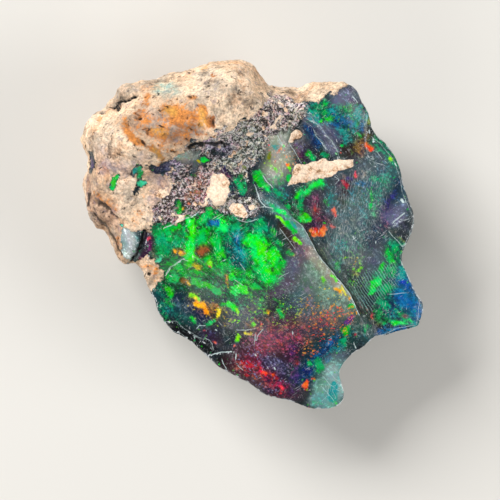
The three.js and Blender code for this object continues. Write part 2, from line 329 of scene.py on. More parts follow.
CREAM_BITS: tuple[Path, ...] = (
    ((-2.45, 3.65), (-1.7, 3.65), (-1.45, 3.1), (-1.5, 2.3), (-1.7, 1.75), (-2.1, 1.65), (-2.5, 2.1),
     (-2.85, 2.5), (-2.7, 3.0)),
    ((-1.4, 1.8), (-1.0, 1.9), (-0.55, 1.75), (-0.35, 1.4), (-0.5, 1.05), (-0.8, 1.0), (-1.2, 1.2),
     (-1.5, 1.5)),
    ((1.95, 2.9), (2.6, 3.05), (3.2, 3.15), (3.9, 3.4), (4.7, 3.55), (5.3, 3.85), (5.9, 4.05), (6.0, 4.5),
     (5.5, 4.5), (4.9, 4.45), (4.4, 4.5), (4.0, 4.55), (3.6, 4.4), (3.0, 4.25), (2.55, 4.2), (2.35, 3.8),
     (2.3, 3.35)),
    ((2.05, 5.6), (2.35, 5.6), (2.7, 5.85), (3.0, 6.05), (2.8, 6.25), (2.5, 6.25), (2.15, 6.0)),
    ((-4.65, 0.8), (-4.25, 1.15), (-3.85, 1.25), (-4.0, 0.95), (-4.4, 0.75)),
    ((-0.3, 1.75), (-0.05, 1.85), (0.15, 1.7), (0.0, 1.5), (-0.2, 1.55)),
    ((-8.1, 3.0), (-7.8, 3.3), (-7.2, 3.5), (-6.8, 3.3), (-6.9, 3.0), (-7.1, 2.6), (-7.7, 2.7)),
    ((-5.9, 2.3), (-5.5, 2.7), (-5.05, 2.7), (-5.0, 2.4), (-5.4, 2.15)),
)
# Where the break left its fine ribs.
RIBBED: Path = (
    (6.3, -2.4), (7.2, -2.1), (7.9, -1.7), (8.5, -1.6), (8.9, -2.2), (8.7, -2.9), (8.3, -3.4), (7.6, -3.9),
    (7.3, -4.4), (7.0, -4.8), (6.5, -4.4), (6.1, -3.7), (5.8, -3.0),
)
# Where the face is combed with fine parallel scratches.
HATCHED: Path = (
    (5.2, 3.9), (6.6, 4.1), (7.9, 3.9), (8.4, 3.0), (8.2, 1.6), (7.6, 0.2), (7.0, -0.8), (5.9, -2.0),
    (4.9, -2.2), (4.2, -0.9), (4.4, 0.6), (4.7, 2.2),
)
# Dark, clear or cloudy ground under the flashes of colour, laid down in this order.
GROUND = drawn(
    Mark,
    (Hue.HAZE_GREY, 2.2, 0.75, (6.2, 1.6), (6.4, -0.6)),
    (Hue.TEAL_GREY, 1.0, 0.8, (5.2, -0.4), (4.9, -1.8)),
    (Hue.TEAL_GREY, 1.4, 0.7, (7.6, 4.0), (8.2, 3.0)),
    (Hue.STONE_GREY, 0.8, 0.6, (6.2, -1.9), (7.2, -1.2)),
    (Hue.SMOKE, 0.6, 0.7, (5.8, -2.6), (6.6, -4.2)),
    (Hue.NIGHT, 0.5, 0.7, (7.4, 0.4), (7.9, 0.7), (7.1, -0.3)),
    (Hue.NIGHT, 0.35, 0.8, (8.8, 3.1), (8.4, 2.4), (8.0, 1.6)),
    (Hue.DEEP_TEAL, 0.55, 0.8, (8.5, -0.7), (8.7, -1.3)),
    (Hue.DEEP_TEAL, 0.5, 0.8, (7.8, -3.9), (8.3, -3.2)),
    (Hue.AZURE, 0.6, 0.7, (9.0, -2.5), (9.4, -3.9), (9.6, -4.7)),
    (Hue.DEEP_BLUE, 0.5, 0.8, (8.6, -4.2), (8.3, -4.6)),
    (Hue.SMOKE, 0.5, 0.6, (7.3, -5.2), (7.6, -5.7)),
    (Hue.TEAL_GREY, 0.5, 0.6, (6.6, -5.6), (7.2, -6.2)),
    (Hue.LAVENDER, 0.45, 0.75, (8.3, 1.1), (8.8, 1.5)),
    (Hue.STONE_GREY, 0.5, 0.5, (8.9, 0.5)),
    (Hue.NEAR_BLACK, 0.35, 0.6, (9.2, 0.7), (8.7, 0.25), (9.1, -0.1)),
    (Hue.LAVENDER_GREY, 0.25, 0.7, (8.35, 0.85), (8.8, 1.1)),
    (Hue.PLUM, 0.6, 0.85, (3.6, 2.2), (3.7, 1.5), (4.2, 0.9), (3.6, 0.6)),
    (Hue.PLUM, 0.35, 0.85, (4.0, -0.7), (4.4, -1.3)),
    (Hue.PLUM, 0.5, 0.8, (5.4, 3.0), (5.9, 3.2)),
    (Hue.BROWN, 0.3, 0.6, (5.5, 2.6), (5.1, 1.8)),
    (Hue.NEAR_BLACK, 0.2, 0.6, (4.3, -0.2), (4.6, 0.0)),
    # Between the long ledge and the green floor.
    (Hue.HAZE_GREEN, 1.1, 0.9, (3.4, -2.0), (4.4, -3.4), (5.2, -4.2)),
    (Hue.HAZE_GREY, 0.9, 0.7, (2.8, -3.4), (3.2, -4.2)),
    (Hue.MAUVE, 0.5, 0.7, (2.6, 0.2), (2.9, -1.3), (2.6, -2.0)),
    (Hue.BLUSH, 0.28, 0.7, (3.1, -0.4), (3.5, -1.2), (4.1, -2.0), (4.8, -2.6), (5.3, -3.1)),
    (Hue.LAVENDER, 0.35, 0.5, (2.2, -1.8), (1.6, -2.7)),
    (Hue.MAUVE, 0.45, 0.65, (2.1, -2.9), (1.3, -3.4)),
    (Hue.BROWN, 0.22, 0.8, (1.6, 0.5), (2.1, -0.1), (2.4, -0.6)),
    (Hue.PALE_TEAL, 0.26, 0.7, (1.0, 1.9), (2.2, 1.0), (2.9, 0.3), (3.3, -0.4)),
    (Hue.PASTEL, 0.25, 0.6, (3.5, -1.0), (4.2, -2.0), (5.0, -2.9), (5.5, -3.6)),
    # The green floor and its dark gaps.
    (Hue.DEEP_GREEN, 1.1, 0.9, (-5.2, -0.6), (-3.2, 0.2), (-1.6, 0.2), (0.6, -0.9)),
    (Hue.DEEP_GREEN, 0.9, 0.8, (-4.8, -2.8), (-3.0, -2.6), (-0.4, -2.8)),
    (Hue.DEEP_TEAL, 0.7, 0.85, (-1.1, -0.6), (-0.7, -1.6), (-1.4, -1.0)),
    (Hue.STONE_GREY, 0.4, 0.6, (-2.0, -2.3), (-1.7, -3.0)),
    (Hue.PLUM, 0.45, 0.7, (-4.5, 0.0), (-4.0, -0.4)),
    (Hue.STONE_GREY, 0.3, 0.6, (-5.2, -1.9), (-4.4, -1.5)),
    (Hue.DEEP_TEAL, 0.5, 0.7, (0.1, 0.7), (0.7, 0.5)),
    (Hue.TEAL_GREY, 0.6, 0.7, (1.6, 3.4), (1.2, 2.2)),
    # Lower left.
    (Hue.DEEP_TEAL, 0.6, 0.85, (-5.8, -3.6), (-5.5, -4.7)),
    (Hue.NIGHT, 0.4, 0.8, (-4.6, -3.7), (-4.1, -4.2)),
    (Hue.NIGHT, 0.35, 0.8, (-3.5, -4.6), (-2.9, -5.0)),
    (Hue.DEEP_TEAL, 0.5, 0.7, (-4.8, -4.3), (-4.0, -5.0)),
    (Hue.BROWN, 0.3, 0.5, (-2.3, -4.4), (-1.5, -5.6)),
    (Hue.STONE_GREY, 0.7, 0.5, (-1.4, -5.1), (-0.2, -4.4)),
    (Hue.PLUM, 0.45, 0.75, (-2.8, -5.9), (-2.4, -6.2)),
    (Hue.NEAR_BLACK, 0.42, 0.9, (-5.4, -5.4), (-4.3, -5.8), (-3.4, -6.4), (-2.6, -7.0)),
    (Hue.NEAR_BLACK, 0.4, 0.85, (-2.1, -7.6), (-1.5, -7.8)),
    (Hue.SLATE, 0.5, 0.6, (-1.0, -6.8), (-0.8, -7.4)),
    # The red and purple foot.
    (Hue.MAROON, 1.0, 0.7, (0.6, -6.6), (1.8, -6.0), (-0.4, -7.8)),
    (Hue.MAUVE, 0.8, 0.45, (0.8, -6.2), (1.8, -5.8)),
    (Hue.MAROON, 0.7, 0.7, (0.9, -8.6), (1.8, -9.2)),
    (Hue.NIGHT, 0.45, 0.75, (0.8, -7.6), (1.8, -8.0), (1.0, -9.0)),
    (Hue.PLUM, 0.6, 0.9, (2.6, -7.0), (2.5, -8.2), (2.3, -9.4)),
    (Hue.DEEP_TEAL, 0.8, 0.85, (3.0, -8.3), (3.9, -7.5), (4.7, -6.6), (5.5, -5.9)),
    (Hue.DEEP_BLUE, 0.4, 0.85, (2.8, -8.6), (3.7, -7.6), (4.5, -6.7)),
    (Hue.NIGHT, 0.3, 0.7, (4.6, -7.3), (5.2, -7.0)),
    (Hue.MAUVE, 0.8, 0.5, (3.6, -5.2), (4.8, -5.0)),
    (Hue.STONE_GREY, 0.4, 0.6, (5.4, -7.2), (4.7, -7.9)),
    (Hue.PALE_TEAL, 0.7, 1.0, (5.0, -8.2), (4.9, -9.2), (4.6, -10.2)),
    (Hue.GLASS_WHITE, 0.4, 0.5, (4.8, -8.3), (5.2, -9.2)),
    (Hue.PALE_TEAL, 0.4, 0.8, (4.1, -9.2), (3.9, -9.9)),
    # Top right.
    (Hue.DEEP_TEAL, 0.8, 0.95, (4.1, 7.2), (5.2, 7.0), (6.1, 6.9)),
    (Hue.DEEP_TEAL, 0.4, 0.8, (5.3, 6.0), (6.2, 6.0)),
    (Hue.DEEP_BLUE, 0.35, 0.8, (4.7, 7.0), (5.2, 6.8)),
    (Hue.LAVENDER_GREY, 0.45, 0.85, (5.2, 8.1), (5.8, 8.3)),
    (Hue.STONE_GREY, 0.3, 0.8, (6.1, 8.5), (6.4, 8.2)),
    (Hue.LAVENDER, 0.35, 0.6, (4.4, 6.3), (4.9, 5.9)),
    (Hue.LAVENDER_GREY, 0.26, 0.8, (3.3, 6.9), (4.1, 6.1), (4.8, 5.0)),
    (Hue.DEEP_BLUE, 0.35, 0.8, (3.4, 6.3), (3.8, 5.6)),
    (Hue.PLUM, 0.45, 0.85, (2.7, 5.3), (3.0, 4.8)),
    (Hue.BROWN, 0.5, 0.8, (6.8, 6.0), (6.3, 5.4), (5.8, 5.0)),
    (Hue.PLUM, 0.35, 0.75, (6.6, 5.0), (6.4, 4.5)),
    (Hue.STONE_GREY, 0.6, 0.6, (7.0, 4.6), (7.4, 4.4), (6.6, 4.0)),
    (Hue.ROCK_ROSE, 0.4, 0.5, (1.7, 4.8), (1.3, 4.5)),
    (Hue.PASTEL, 0.6, 0.9, (1.4, 5.8), (1.5, 5.0), (1.6, 4.3), (1.3, 3.8)),
    # Windows of opal in the rock.
    (Hue.STONE_GREY, 0.5, 0.95, (-4.1, 4.7), (-3.4, 4.5)),
    (Hue.PASTEL, 0.4, 0.8, (-4.1, 4.7), (-3.6, 4.5)),
    (Hue.STONE_GREY, 0.35, 0.8, (-3.7, 4.2), (-3.4, 4.1)),
    (Hue.NEAR_BLACK, 0.25, 0.9, (-9.75, 4.9), (-9.6, 4.3), (-9.8, 3.8)),
    (Hue.VIOLET, 0.1, 0.8, (-9.75, 4.6), (-9.68, 4.1)),
    (Hue.NIGHT, 0.2, 0.9, (-5.8, 3.85), (-5.3, 4.0)),
    (Hue.LAVENDER, 0.2, 0.8, (-5.1, 4.1), (-4.7, 4.15)),
    (Hue.NIGHT, 0.2, 0.85, (-1.8, 3.95), (-1.3, 3.5), (-1.3, 2.6), (-1.2, 2.2), (-0.6, 2.2)),
    (Hue.SMOKE, 0.14, 0.9, (-0.15, 3.9), (-0.15, 3.2)),
    (Hue.PALE_TEAL, 0.45, 0.85, (-7.5, 0.1), (-7.4, -0.9), (-7.5, -1.4)),
    (Hue.TEAL, 0.12, 0.8, (-7.0, -0.2), (-6.8, -0.5)),
    # Painted shade in the crack beside the purple sliver.
    (Hue.NEAR_BLACK, 0.12, 0.85, (-6.45, 0.1), (-6.6, -0.5), (-7.1, -1.3)),
    (Hue.GLASS_WHITE, 0.32, 0.8, (-7.5, 0.1), (-7.3, -0.5), (-7.45, -1.2)),
    (Hue.PLUM, 0.26, 1.0, (-6.2, 0.05), (-6.2, -0.4), (-6.25, -0.8), (-6.6, -1.3)),
    (Hue.MAROON, 0.1, 0.9, (-6.7, -1.4), (-6.85, -1.5)),
    (Hue.MAGENTA, 0.08, 0.6, (-6.1, -0.5), (-6.2, -0.9)),
)
# Faint play of colour: wide veils that break up into sparks.
VEILS = drawn(
    Mark,
    (Hue.EMERALD, 0.5, 0.55, (-5.5, 0.2), (-5.3, -1.2)),
    (Hue.EMERALD, 1.1, 0.7, (-4.2, -0.4), (-3.0, 0.3), (-1.4, 0.2), (0.4, -0.8)),
    (Hue.GREEN, 0.9, 0.62, (-4.6, -1.9), (-2.8, -1.6), (-0.6, -2.2), (1.0, -2.4)),
    (Hue.TEAL, 0.55, 0.5, (-1.1, -0.2), (-0.6, -1.5)),
    (Hue.EMERALD, 0.8, 0.35, (-5.3, -3.2), (-4.2, -4.6)),
    (Hue.GREEN, 0.7, 0.25, (-3.6, -3.8), (-2.2, -4.8), (-0.8, -4.6)),
    (Hue.STAIN, 0.45, 0.4, (-3.6, -3.8), (-2.6, -4.7)),
    (Hue.VIOLET, 0.5, 0.3, (-4.6, -3.8), (-3.0, -5.4), (-2.6, -6.0)),
    (Hue.GREEN, 0.8, 0.34, (-2.0, -3.2), (0.2, -3.9), (1.6, -4.4)),
    (Hue.RUST, 0.6, 0.28, (-1.6, -5.4), (0.4, -5.2), (1.2, -4.8)),
    (Hue.MAGENTA, 0.5, 0.28, (1.9, -3.3), (1.2, -3.9)),
    (Hue.RUST, 0.9, 0.4, (3.0, -5.3), (4.2, -4.9), (5.0, -5.1)),
    (Hue.LIME, 0.5, 0.25, (3.6, -3.6), (5.0, -3.9)),
    (Hue.HAZE_GREEN, 0.8, 0.5, (3.4, -2.2), (4.2, -3.1), (4.7, -3.8)),
    (Hue.MAUVE, 0.6, 0.4, (2.6, -2.2), (3.2, -3.3), (3.4, -4.2)),
    (Hue.CRIMSON, 1.0, 0.42, (0.6, -6.5), (1.4, -6.0), (2.4, -6.2)),
    (Hue.ROSE, 0.8, 0.3, (0.6, -6.2), (2.0, -6.0)),
    (Hue.RED, 0.6, 0.38, (-0.7, -7.7), (0.4, -8.3), (1.8, -9.2)),
    (Hue.CRIMSON, 0.6, 0.4, (0.0, -7.4), (1.4, -8.9), (2.0, -9.3)),
    (Hue.VIOLET, 0.5, 0.45, (2.6, -6.9), (2.5, -8.0), (2.3, -9.3)),
    (Hue.MAGENTA, 0.3, 0.4, (2.3, -7.4), (2.2, -8.2)),
    (Hue.LAVENDER, 0.5, 0.4, (1.1, -7.6), (1.7, -8.0)),
    (Hue.AZURE, 0.4, 0.42, (3.2, -8.3), (3.9, -7.4), (4.6, -6.6), (5.2, -6.0)),
    (Hue.TEAL, 0.5, 0.5, (3.8, -7.8), (4.8, -6.9), (5.7, -6.0)),
    (Hue.TEAL, 0.6, 0.35, (6.4, -5.6), (7.2, -6.0)),
    (Hue.GREEN, 0.2, 0.6, (5.2, -6.1), (5.6, -5.5)),
    (Hue.RUST, 0.4, 0.35, (3.1, -7.0), (3.4, -6.4)),
    (Hue.MINT, 0.55, 0.5, (5.0, -8.3), (4.9, -9.0), (4.7, -9.9)),
    (Hue.TEAL, 0.6, 0.45, (5.1, -8.4), (4.9, -9.2), (4.6, -9.9), (4.1, -10.0)),
    (Hue.TEAL, 0.6, 0.3, (4.7, 2.6), (4.8, 1.5)),
    (Hue.TEAL, 1.0, 0.34, (6.2, 3.0), (6.9, 1.8), (6.2, 0.6), (5.6, -0.6)),
    (Hue.EMERALD, 0.5, 0.35, (7.3, 3.4), (8.2, 3.4), (7.4, 2.3)),
    (Hue.INDIGO, 0.4, 0.28, (8.6, 3.0), (8.1, 1.9), (7.6, 0.5), (8.2, 0.2)),
    (Hue.INDIGO, 0.6, 0.2, (6.9, -0.2), (6.0, -1.0)),
    (Hue.EMERALD, 0.55, 0.55, (8.6, -0.7), (8.3, -1.6), (7.8, -2.4), (7.3, -3.2)),
    (Hue.EMERALD, 0.6, 0.5, (8.4, -3.1), (7.9, -4.0), (7.6, -4.8)),
    (Hue.LIME, 0.5, 0.3, (6.0, -1.2), (6.4, -2.1), (6.2, -2.7)),
    (Hue.AMBER, 0.4, 0.25, (5.8, -1.4), (6.3, -2.3)),
    (Hue.VIOLET, 0.5, 0.25, (6.2, -3.4), (6.6, -4.4)),
    (Hue.AZURE, 0.4, 0.75, (9.0, -2.5), (9.4, -3.6)),
    (Hue.TEAL, 0.5, 0.6, (8.8, -4.0), (9.5, -4.6), (9.7, -5.2)),
    (Hue.EMERALD, 0.35, 0.5, (8.2, -5.2), (9.3, -5.1)),
    (Hue.AZURE, 0.35, 0.5, (7.6, -5.9), (9.0, -5.5)),
    (Hue.CRIMSON, 0.5, 0.35, (3.7, 2.0), (3.8, 1.2), (4.3, 0.7)),
    (Hue.CRIMSON, 0.4, 0.25, (4.1, -0.6), (4.3, -1.2)),
    (Hue.EMERALD, 0.4, 0.6, (4.0, 3.2), (3.2, 2.8), (2.7, 2.2), (2.8, 1.3)),
    (Hue.EMERALD, 0.5, 0.35, (1.0, 3.0), (1.6, 2.3), (2.2, 1.8)),
    (Hue.GREEN, 0.35, 0.5, (0.3, 3.6), (0.8, 2.9)),
    (Hue.TEAL, 0.4, 0.3, (1.5, 5.8), (1.3, 5.2)),
    (Hue.CORAL, 0.5, 0.2, (1.3, 4.8), (2.0, 4.4)),
    (Hue.LIME, 0.5, 0.25, (1.2, 4.2), (1.8, 3.9)),
    (Hue.TEAL, 0.8, 0.75, (3.9, 7.3), (5.0, 7.2), (6.2, 6.9)),
    (Hue.EMERALD, 0.4, 0.45, (3.9, 7.5), (5.0, 7.6), (6.3, 7.4)),
    (Hue.AZURE, 0.5, 0.5, (4.8, 6.9), (5.4, 6.6)),
    (Hue.TEAL, 0.4, 0.45, (5.2, 6.1), (5.8, 5.7)),
    (Hue.AZURE, 0.3, 0.4, (3.3, 6.4), (3.8, 5.5)),
    (Hue.VIOLET, 0.35, 0.4, (2.7, 5.4), (3.0, 4.9)),
    (Hue.CRIMSON, 0.35, 0.35, (6.7, 5.5), (6.5, 4.9)),
    (Hue.RUST, 0.4, 0.4, (6.9, 6.1), (6.2, 5.2)),
    (Hue.EMERALD, 0.5, 0.45, (7.5, 5.6), (8.2, 5.0), (8.6, 4.3)),
    (Hue.RUST, 0.5, 0.35, (-4.2, 1.7), (-3.2, 2.4), (-3.4, 3.4)),
    (Hue.EMERALD, 0.25, 0.3, (-4.2, 4.9)),
    (Hue.EMERALD, 0.4, 0.3, (-1.2, 3.0), (-0.6, 3.4)),
    (Hue.EMERALD, 0.35, 0.4, (-4.6, 1.7), (-4.0, 1.4)),
    (Hue.INDIGO, 0.3, 0.35, (-2.1, 3.9), (-1.3, 3.7)),
)
# Play of colour: crisp, fibrous patches of pure light.
FLASHES = drawn(
    Mark,
    # The green floor.
    (Hue.EMERALD, 0.55, 0.75, (-5.5, 0.1), (-5.3, -1.0)),
    (Hue.GREEN, 0.22, 0.8, (-5.1, 0.3), (-5.0, -0.2)),
    (Hue.MINT, 0.2, 0.7, (-5.6, -1.4)),
    (Hue.GREEN, 0.25, 0.8, (-4.9, 0.5), (-4.5, 0.55)),
    (Hue.BRIGHT_GREEN, 0.33, 0.9, (-3.65, 0.9), (-3.6, 0.2), (-3.6, -0.5), (-3.8, -1.1), (-3.9, -1.7)),
    (Hue.GREEN, 0.3, 0.85, (-3.2, 0.8), (-2.9, 1.1), (-2.6, 1.4)),
    (Hue.GREEN, 0.45, 0.8, (-3.0, -0.3), (-2.9, 0.1)),
    (Hue.GREEN, 0.4, 0.8, (-2.3, -0.3), (-1.9, -1.2)),
    (Hue.BRIGHT_GREEN, 0.4, 0.9, (-2.1, 0.7), (-1.6, 0.45), (-1.2, 0.3)),
    (Hue.EMERALD, 0.35, 0.75, (-0.9, 0.5), (-1.3, -0.1)),
    (Hue.TEAL, 0.38, 0.75, (-0.9, -0.1), (-0.7, -0.8), (-0.4, -1.4), (-0.2, -1.9)),
    (Hue.AZURE, 0.18, 0.8, (-2.5, 0.7), (-2.2, 0.75)),
    (Hue.AZURE, 0.18, 0.7, (-0.9, -0.3), (-0.6, -0.8)),
    (Hue.EMERALD, 0.5, 0.8, (0.4, 0.5), (0.2, -0.1)),
    (Hue.EMERALD, 0.55, 0.85, (0.1, -1.0), (0.3, -2.2)),
    (Hue.BRIGHT_GREEN, 0.5, 1.0, (0.0, -0.4), (0.5, -0.9), (0.8, -1.7), (0.9, -2.4)),
    (Hue.BRIGHT_GREEN, 0.42, 0.95, (1.2, -1.2), (1.4, -1.9)),
    (Hue.GREEN, 0.25, 0.85, (1.7, -1.7), (1.3, -2.2)),
    (Hue.GREEN, 0.3, 0.8, (0.0, -2.4), (-0.2, -2.2)),
    (Hue.RUST, 0.3, 0.75, (-3.1, -0.95), (-2.9, -0.9)),
    (Hue.YELLOW, 0.13, 0.8, (-3.5, -1.8), (-3.2, -1.95)),
    (Hue.LIME, 0.15, 0.75, (-2.7, -1.7), (-2.5, -1.75)),
    (Hue.CORAL, 0.07, 0.8, (-2.6, -1.9)),
    (Hue.AMBER, 0.14, 0.85, (-4.55, -1.0)),
    (Hue.AMBER, 0.14, 0.85, (-4.25, -1.0)),
    (Hue.GREEN, 0.32, 0.7, (-4.5, -1.8), (-4.1, -2.3)),
    (Hue.GREEN, 0.25, 0.8, (-5.0, -2.5), (-4.6, -2.5)),
    (Hue.GREEN, 0.25, 0.8, (-5.2, -3.1), (-4.9, -3.5)),
    (Hue.RUST, 0.2, 0.75, (-4.2, -2.7), (-3.8, -2.95)),
    (Hue.AMBER, 0.1, 0.8, (-4.0, -2.8), (-3.75, -3.0)),
    (Hue.GREEN, 0.2, 0.95, (-3.6, -2.75), (-3.0, -2.95), (-2.6, -3.1), (-2.1, -3.35)),
    (Hue.BRIGHT_GREEN, 0.18, 0.9, (-1.4, -2.45), (-1.25, -2.6)),
    (Hue.BRIGHT_GREEN, 0.28, 0.9, (-1.0, -3.25), (-0.5, -3.3)),
    (Hue.GREEN, 0.22, 0.85, (0.1, -3.1), (0.25, -3.2)),
    (Hue.AMBER, 0.07, 0.6, (-1.6, -2.5), (-1.4, -3.1)),
    # Left of the long ledge.
    (Hue.EMERALD, 0.16, 0.6, (1.1, 1.7), (1.7, 1.3), (2.1, 1.1)),
    (Hue.BRIGHT_GREEN, 0.13, 0.9, (1.5, 1.45), (1.8, 1.3)),
    (Hue.LIME, 0.11, 0.9, (1.4, 1.1), (1.7, 0.75), (2.0, 0.5)),
    (Hue.GREEN, 0.22, 0.85, (2.1, 0.7), (2.45, 0.3)),
    (Hue.LIME, 0.1, 0.85, (2.4, -0.1), (2.8, -0.45)),
    (Hue.TEAL, 0.13, 0.7, (2.4, 0.8), (2.6, 0.6)),
    (Hue.GREEN, 0.16, 0.75, (1.5, -0.35), (1.7, -0.5)),
    (Hue.GREEN, 0.2, 0.6, (1.2, 0.3), (1.3, 0.1)),
    (Hue.GREEN, 0.2, 0.55, (2.1, -1.0), (2.4, -1.1)),
    (Hue.LIME, 0.13, 0.9, (4.2, -2.6), (4.25, -2.75)),
    (Hue.LIME, 0.13, 0.95, (4.8, -2.45), (5.0, -2.65)),
    (Hue.AMBER, 0.14, 0.95, (5.05, -3.3), (5.15, -3.4)),
    (Hue.YELLOW, 0.1, 0.8, (5.3, -3.1), (5.55, -3.6)),
    (Hue.AMBER, 0.1, 0.8, (5.7, -3.8), (5.85, -3.75)),
    (Hue.GREEN, 0.16, 0.95, (5.75, -4.2), (5.95, -4.25)),
    (Hue.MAGENTA, 0.15, 0.35, (2.7, -1.8), (2.9, -1.3)),
    # Above and around the cream leaf.
    (Hue.GREEN, 0.24, 0.9, (0.25, 3.6), (0.5, 3.1), (0.8, 2.8)),
    (Hue.BRIGHT_GREEN, 0.12, 0.9, (0.7, 2.9), (0.85, 2.75)),
    (Hue.EMERALD, 0.16, 0.75, (1.3, 2.65), (1.6, 2.5)),
    (Hue.MINT, 0.16, 0.8, (-0.5, 3.1), (-0.5, 2.95)),
    (Hue.GREEN, 0.18, 0.5, (-1.0, 3.4), (-0.7, 3.5)),
    (Hue.OLIVE, 0.12, 0.8, (-0.55, 4.05), (-0.45, 3.95)),
    (Hue.OLIVE, 0.13, 0.85, (0.85, 4.6), (1.05, 4.9)),
    (Hue.TEAL, 0.15, 0.7, (1.2, 5.3), (1.35, 5.2)),
    (Hue.BRIGHT_GREEN, 0.12, 0.95, (1.8, 5.2)),
    (Hue.ORANGE, 0.11, 0.9, (1.6, 5.05)),
    (Hue.ORANGE, 0.12, 0.9, (2.1, 4.25)),
    (Hue.LIME, 0.12, 0.9, (2.2, 4.05)),
    (Hue.LIME, 0.14, 0.6, (1.3, 4.0), (1.5, 4.0)),
    (Hue.GREEN, 0.13, 0.85, (2.15, 3.55), (2.1, 3.3)),
    (Hue.CORAL, 0.1, 0.5, (1.25, 4.4), (1.35, 4.5)),
    (Hue.EMERALD, 0.2, 0.6, (1.5, 3.5), (1.7, 3.2)),
    (Hue.GREEN, 0.14, 0.85, (1.95, 1.8), (2.1, 1.75)),
    (Hue.BRIGHT_GREEN, 0.18, 0.95, (4.1, 3.2), (3.6, 2.9), (3.25, 2.6)),
    (Hue.BRIGHT_GREEN, 0.18, 0.95, (2.6, 2.35), (2.9, 2.4)),
    (Hue.EMERALD, 0.2, 0.85, (2.95, 2.2), (2.75, 1.6), (2.85, 1.25)),
    (Hue.BRIGHT_GREEN, 0.2, 0.95, (3.0, 1.1), (3.3, 0.95)),
    (Hue.LIME, 0.07, 0.9, (3.45, 0.8)),
    (Hue.CRIMSON, 0.1, 0.6, (3.65, 1.7), (3.75, 1.4)),
    (Hue.ORANGE, 0.2, 1.0, (3.75, 0.2), (4.05, 0.15), (4.2, 0.35)),
    (Hue.RED, 0.12, 0.7, (3.8, 0.35), (4.0, 0.1)),
    (Hue.CORAL, 0.12, 0.85, (4.6, 0.5), (4.7, 0.45)),
    (Hue.GREEN, 0.1, 0.8, (3.45, 0.1)),
    (Hue.CORAL, 0.12, 0.95, (4.75, 1.45), (5.0, 1.2)),
    (Hue.TEAL, 0.3, 0.5, (4.6, 2.4), (4.8, 2.1)),
    (Hue.GREEN, 0.14, 0.5, (4.3, 2.0), (4.4, 1.9)),
    (Hue.CRIMSON, 0.17, 0.85, (5.55, 3.2), (5.65, 2.95)),
    (Hue.CORAL, 0.1, 0.8, (6.2, 3.8), (6.2, 3.5)),
    # The right-hand floor.
    (Hue.AZURE, 0.2, 0.5, (6.3, 3.0), (6.8, 2.9)),
    (Hue.INDIGO, 0.15, 0.5, (5.8, 3.5), (6.0, 3.4)),
    (Hue.GREEN, 0.13, 0.65, (7.15, 2.8), (7.2, 2.2), (7.1, 1.7)),
    (Hue.EMERALD, 0.25, 0.45, (7.2, 3.4), (7.9, 3.2)),
    (Hue.EMERALD, 0.2, 0.4, (7.6, 1.9), (7.3, 1.2)),
    (Hue.INDIGO, 0.18, 0.55, (8.5, 2.6), (8.1, 1.8)),
    (Hue.GREEN, 0.26, 0.75, (8.2, -1.0), (8.3, -1.6)),
    (Hue.BRIGHT_GREEN, 0.13, 0.9, (8.35, -1.55)),
    (Hue.EMERALD, 0.22, 0.7, (8.5, -0.9), (8.6, -0.6)),
    (Hue.GREEN, 0.2, 0.85, (7.7, -2.05), (7.75, -1.8)),
    (Hue.BRIGHT_GREEN, 0.2, 0.95, (7.6, -2.75), (7.25, -3.0), (7.1, -3.5)),
    (Hue.EMERALD, 0.28, 0.8, (8.2, -2.1), (8.5, -2.3)),
    (Hue.EMERALD, 0.28, 0.85, (8.0, -3.3), (8.2, -3.1)),
    (Hue.EMERALD, 0.35, 0.6, (7.7, -3.9), (8.0, -4.2)),
    (Hue.EMERALD, 0.15, 0.7, (7.5, -4.9), (7.7, -4.5)),
    (Hue.LIME, 0.13, 0.75, (6.4, -2.1), (6.6, -1.85)),
    (Hue.LIME, 0.1, 0.7, (6.1, -2.0)),
    (Hue.AMBER, 0.06, 0.6, (6.0, -1.7), (6.2, -1.3)),
    (Hue.GREEN, 0.18, 0.5, (5.1, -2.0), (5.2, -1.6)),
    (Hue.BLUE, 0.2, 0.8, (9.1, -2.8), (9.35, -3.4)),
    (Hue.TEAL, 0.3, 0.75, (9.0, -2.1), (9.1, -2.4)),
    (Hue.AZURE, 0.4, 0.8, (8.9, -3.6), (9.3, -4.0), (9.8, -4.6)),
    (Hue.TEAL, 0.3, 0.7, (8.7, -4.7), (9.3, -4.9)),
    (Hue.EMERALD, 0.2, 0.7, (8.9, -4.7), (9.2, -5.0)),
    (Hue.CRIMSON, 0.09, 0.6, (9.1, -4.85)),
    (Hue.BRIGHT_GREEN, 0.12, 0.95, (8.5, -5.35), (9.0, -5.25), (9.4, -5.15)),
    (Hue.GREEN, 0.14, 0.7, (7.95, -5.3), (8.1, -5.1)),
    (Hue.AZURE, 0.13, 0.7, (7.8, -5.85), (8.3, -5.75), (8.8, -5.6)),
    (Hue.CORAL, 0.08, 0.7, (7.15, -4.85), (7.2, -4.75)),
    (Hue.CRIMSON, 0.09, 0.7, (6.1, -6.0)),
    (Hue.EMERALD, 0.12, 0.6, (6.7, -5.8), (6.9, -5.4)),
    # Lower left.
    (Hue.LIME, 0.15, 0.8, (-3.7, -3.7), (-3.3, -3.8)),
    (Hue.YELLOW, 0.09, 0.85, (-3.6, -3.85), (-3.45, -3.9)),
    (Hue.AMBER, 0.16, 0.95, (-3.4, -4.05), (-3.0, -4.3), (-2.8, -4.7)),
    (Hue.RUST, 0.15, 0.8, (-2.3, -4.2), (-2.1, -4.3)),
    (Hue.YELLOW, 0.1, 0.85, (-2.05, -4.5), (-2.15, -4.8)),
    (Hue.BRIGHT_GREEN, 0.2, 0.95, (-1.5, -4.1), (-1.2, -4.2), (-0.95, -4.45)),
    (Hue.LIME, 0.1, 0.9, (-0.9, -4.4), (-0.85, -4.6)),
    (Hue.GREEN, 0.13, 0.7, (-1.9, -4.1), (-1.75, -4.2)),
    (Hue.GREEN, 0.18, 0.6, (-3.7, -5.0), (-3.6, -5.2)),
    (Hue.GREEN, 0.16, 0.65, (-2.65, -5.3), (-2.3, -5.1)),
